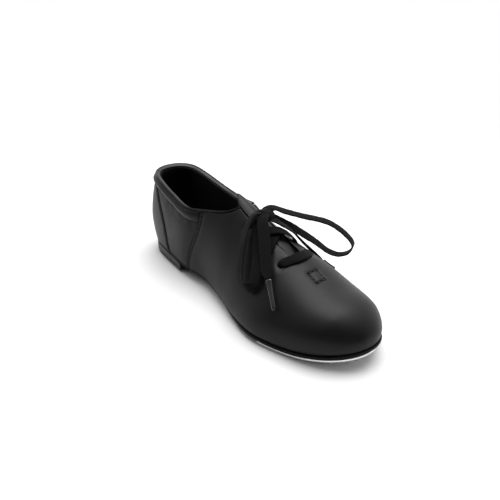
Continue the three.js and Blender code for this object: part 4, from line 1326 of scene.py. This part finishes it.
bottomPiece("heel_block", soleRing(0.2, None, breastCut(0.2)), over(boardTop), blockFoot, heelStack,
            (0.35, 0.3), stackRows)
bottomPiece("heel_lift", soleRing(0.2, None, breastCut(0.2)), level(soleSet["blockBottom"] - 0.3),
            soleSet["liftThickness"], rubber, (0.3, 0.3),
            holes=holesAt(soleSet["heelScrews"], soleSet["shankHoleRadius"]))
bottomPiece("heel_tap", soleRing(3.4, None, breastCut(3.4)), level(soleSet["tapThickness"]),
            soleSet["tapThickness"], tapMetal, (0.3, 0.3), [(0.5, -0.06)], seats["heelScrews"])


def sockHeight(x):
    return featherHeight(x) + 5.35 + 2.3 * (1 - smoothstep(x, 72, 84))


bottomPiece("sock_liner", soleRing(5.1), sockHeight, 1.0, liningCloth, (0.3, 0.2))


def screwPiece(name, x, y, z, reach):
    # a countersunk head with a cross recess, and its shank
    def recess(flat, edge):
        away = np.abs(flat - [x, y])
        arm, tip = away.min(1), away.max(1)
        return 0.85 * (1 - smoothstep(arm, 0.3, 0.55)) * (1 - smoothstep(tip, 1.3, 1.75))
    head = buildSheet(name, DownPlan(level(z + 0.15)), circleAt((x, y), soleSet["headRadius"], 40), 0.0, 1.35,
                      roundOuter=0.25, roundInner=0.0, shape=recess, spacing=0.28)
    finishPiece(head, steel, "shoe", [name])
    turns = fullTurn(14)
    rings = [np.column_stack([x + r * np.cos(turns), y + r * np.sin(turns), np.full(len(turns), z + h)])
             for h, r in ((1.4, 1.4), (reach, 1.3), (reach + 1.2, 0.2))]
    shankVerts, shankFaces = tubeAlong(rings)
    finishPiece(makeObject(name + "_shank", shankVerts, shankFaces), steel)


for i, (x, y) in enumerate(soleSet["toeScrews"]):
    foot = float(featherHeight(x)) + tapTop - soleSet["tapThickness"]
    screwPiece(f"toe_tap_screw_{i + 1}", x, y, foot, 3.0)
for i, (x, y) in enumerate(soleSet["heelScrews"]):
    screwPiece(f"heel_tap_screw_{i + 1}", x, y, 0.0, 9.0)
print("bottom, heel and taps made")

# the stiffening behind the heel's leather
counterSet = {"top": 22.0, "footTo": 66.0, "start": 1.7, "end": 2.7}


def counterHalf(side):
    footU = float(np.arccos(1 - 2 * counterSet["footTo"] / length) / np.pi)
    u = np.linspace(footU, 0, 40)
    t = underRim(u, side, counterSet["top"]) * (1 - 0.55 * smoothstep(u, footU * 0.55, footU))
    return [alongFeather(rearSkin, side, 0, footU),
            np.vstack([rearSkin.toFlat(u[:1], 0.0, side), rearSkin.toFlat(u, t, side)])]


counter = buildSheet("heel_counter", rearSkin, bothSides(counterHalf), counterSet["start"], counterSet["end"],
                     spacing=3.6, roundOuter=0.2, roundInner=0.2)
finishPiece(counter, fibreBoard, "shoe", ["heel_counter"])

# the pieces inside the shoe keep their made shape and get their own finish
inside = {
    "toe_puff": fibreBoard, "insole_board": fibreBoard, "forefoot_filler": fibreBoard,
    "heel_filler": fibreBoard, "facing_stay_right": stayCloth, "facing_stay_left": stayCloth,
    "heel_pad": foam, "shank": steel,
    "heel_nail_1": steel, "heel_nail_2": steel, "heel_nail_3": steel,
}
for name, material in inside.items():
    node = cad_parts[name]
    node.data.materials.clear()
    node.data.materials.append(material)

# ---- floor and light ----
studio = {
    "floorSize": 24.0, "floorColour": (0.70, 0.70, 0.70), "backdrop": 1.0, "litFrom": 0.34, "litTo": 0.75,
    "brightTowards": (-0.66, 0.58, 0.48), "brightFrom": -0.35, "brightTo": 0.75, "nearSide": 0.03,
    "farSide": 1.5,
    "overhead": {"at": (0.0, 0.25, 1.3), "aim": (0.08, 0.0, 0.0), "size": (1.2, 1.0), "power": 22.0},
}
floorMesh = bpy.data.meshes.new("floor")
reach = studio["floorSize"] / 2
floorMesh.from_pydata([(-reach, -reach, 0), (reach, -reach, 0), (reach, reach, 0), (-reach, reach, 0)], [],
                      [(0, 1, 2, 3)])
floor = bpy.data.objects.new("floor", floorMesh)
bpy.context.scene.collection.objects.link(floor)
floorPaint, floorTree, floorShader, _ = startMaterial("floor_paint", studio["floorColour"], 0.9)
floorShader.inputs["Specular IOR Level"].default_value = 0.1
# away from the shoe the paper floor is lit evenly, so it fades to plain white
fromShoe = addNode(floorTree, "VectorMath", {0: floorTree.nodes["Texture Coordinate"].outputs["Object"]},
                   operation="LENGTH")
even = stretch(floorTree, fromShoe.outputs["Value"], studio["litFrom"], studio["litTo"], 0, 1)
glow = addNode(floorTree, "Emission", {"Color": (1, 1, 1, 1), "Strength": studio["backdrop"]})
mixed = addNode(floorTree, "MixShader", {0: even, 1: floorShader.outputs[0], 2: glow.outputs[0]})
floorTree.links.new(mixed.outputs[0], floorTree.nodes["Material Output"].inputs["Surface"])
floorMesh.materials.append(floorPaint)


def softBox(name, at, aim, size, power):
    light = bpy.data.lights.new(name, "AREA")
    light.shape = "RECTANGLE"
    light.size, light.size_y = size
    light.energy = power
    lamp = bpy.data.objects.new(name, light)
    lamp.location = at
    lamp.rotation_euler = (Vector(aim) - Vector(at)).to_track_quat("-Z", "Y").to_euler()
    bpy.context.scene.collection.objects.link(lamp)


softBox("overhead", **studio["overhead"])
world = bpy.data.worlds.new("studio")
bpy.context.scene.world = world
world.use_nodes = True
# the studio is brighter on the far side and above than on the near side; seen directly it is plain white
sky = world.node_tree.nodes["Background"]
sky.inputs["Strength"].default_value = 1.0
seen = world.node_tree.nodes.new("ShaderNodeLightPath")
way = world.node_tree.nodes.new("ShaderNodeTexCoord")
lean = addNode(world.node_tree, "VectorMath", {0: way.outputs["Generated"], 1: studio["brightTowards"]},
               operation="DOT_PRODUCT")
around = stretch(world.node_tree, lean.outputs["Value"], studio["brightFrom"], studio["brightTo"],
                 studio["nearSide"], studio["farSide"])
tone = world.node_tree.nodes.new("ShaderNodeMix")
world.node_tree.links.new(seen.outputs["Is Camera Ray"], tone.inputs[0])
world.node_tree.links.new(around, tone.inputs[2])
tone.inputs[3].default_value = studio["backdrop"]
world.node_tree.links.new(tone.outputs[0], sky.inputs["Color"])
bpy.context.scene.view_settings.view_transform = "Standard"
print("studio made")
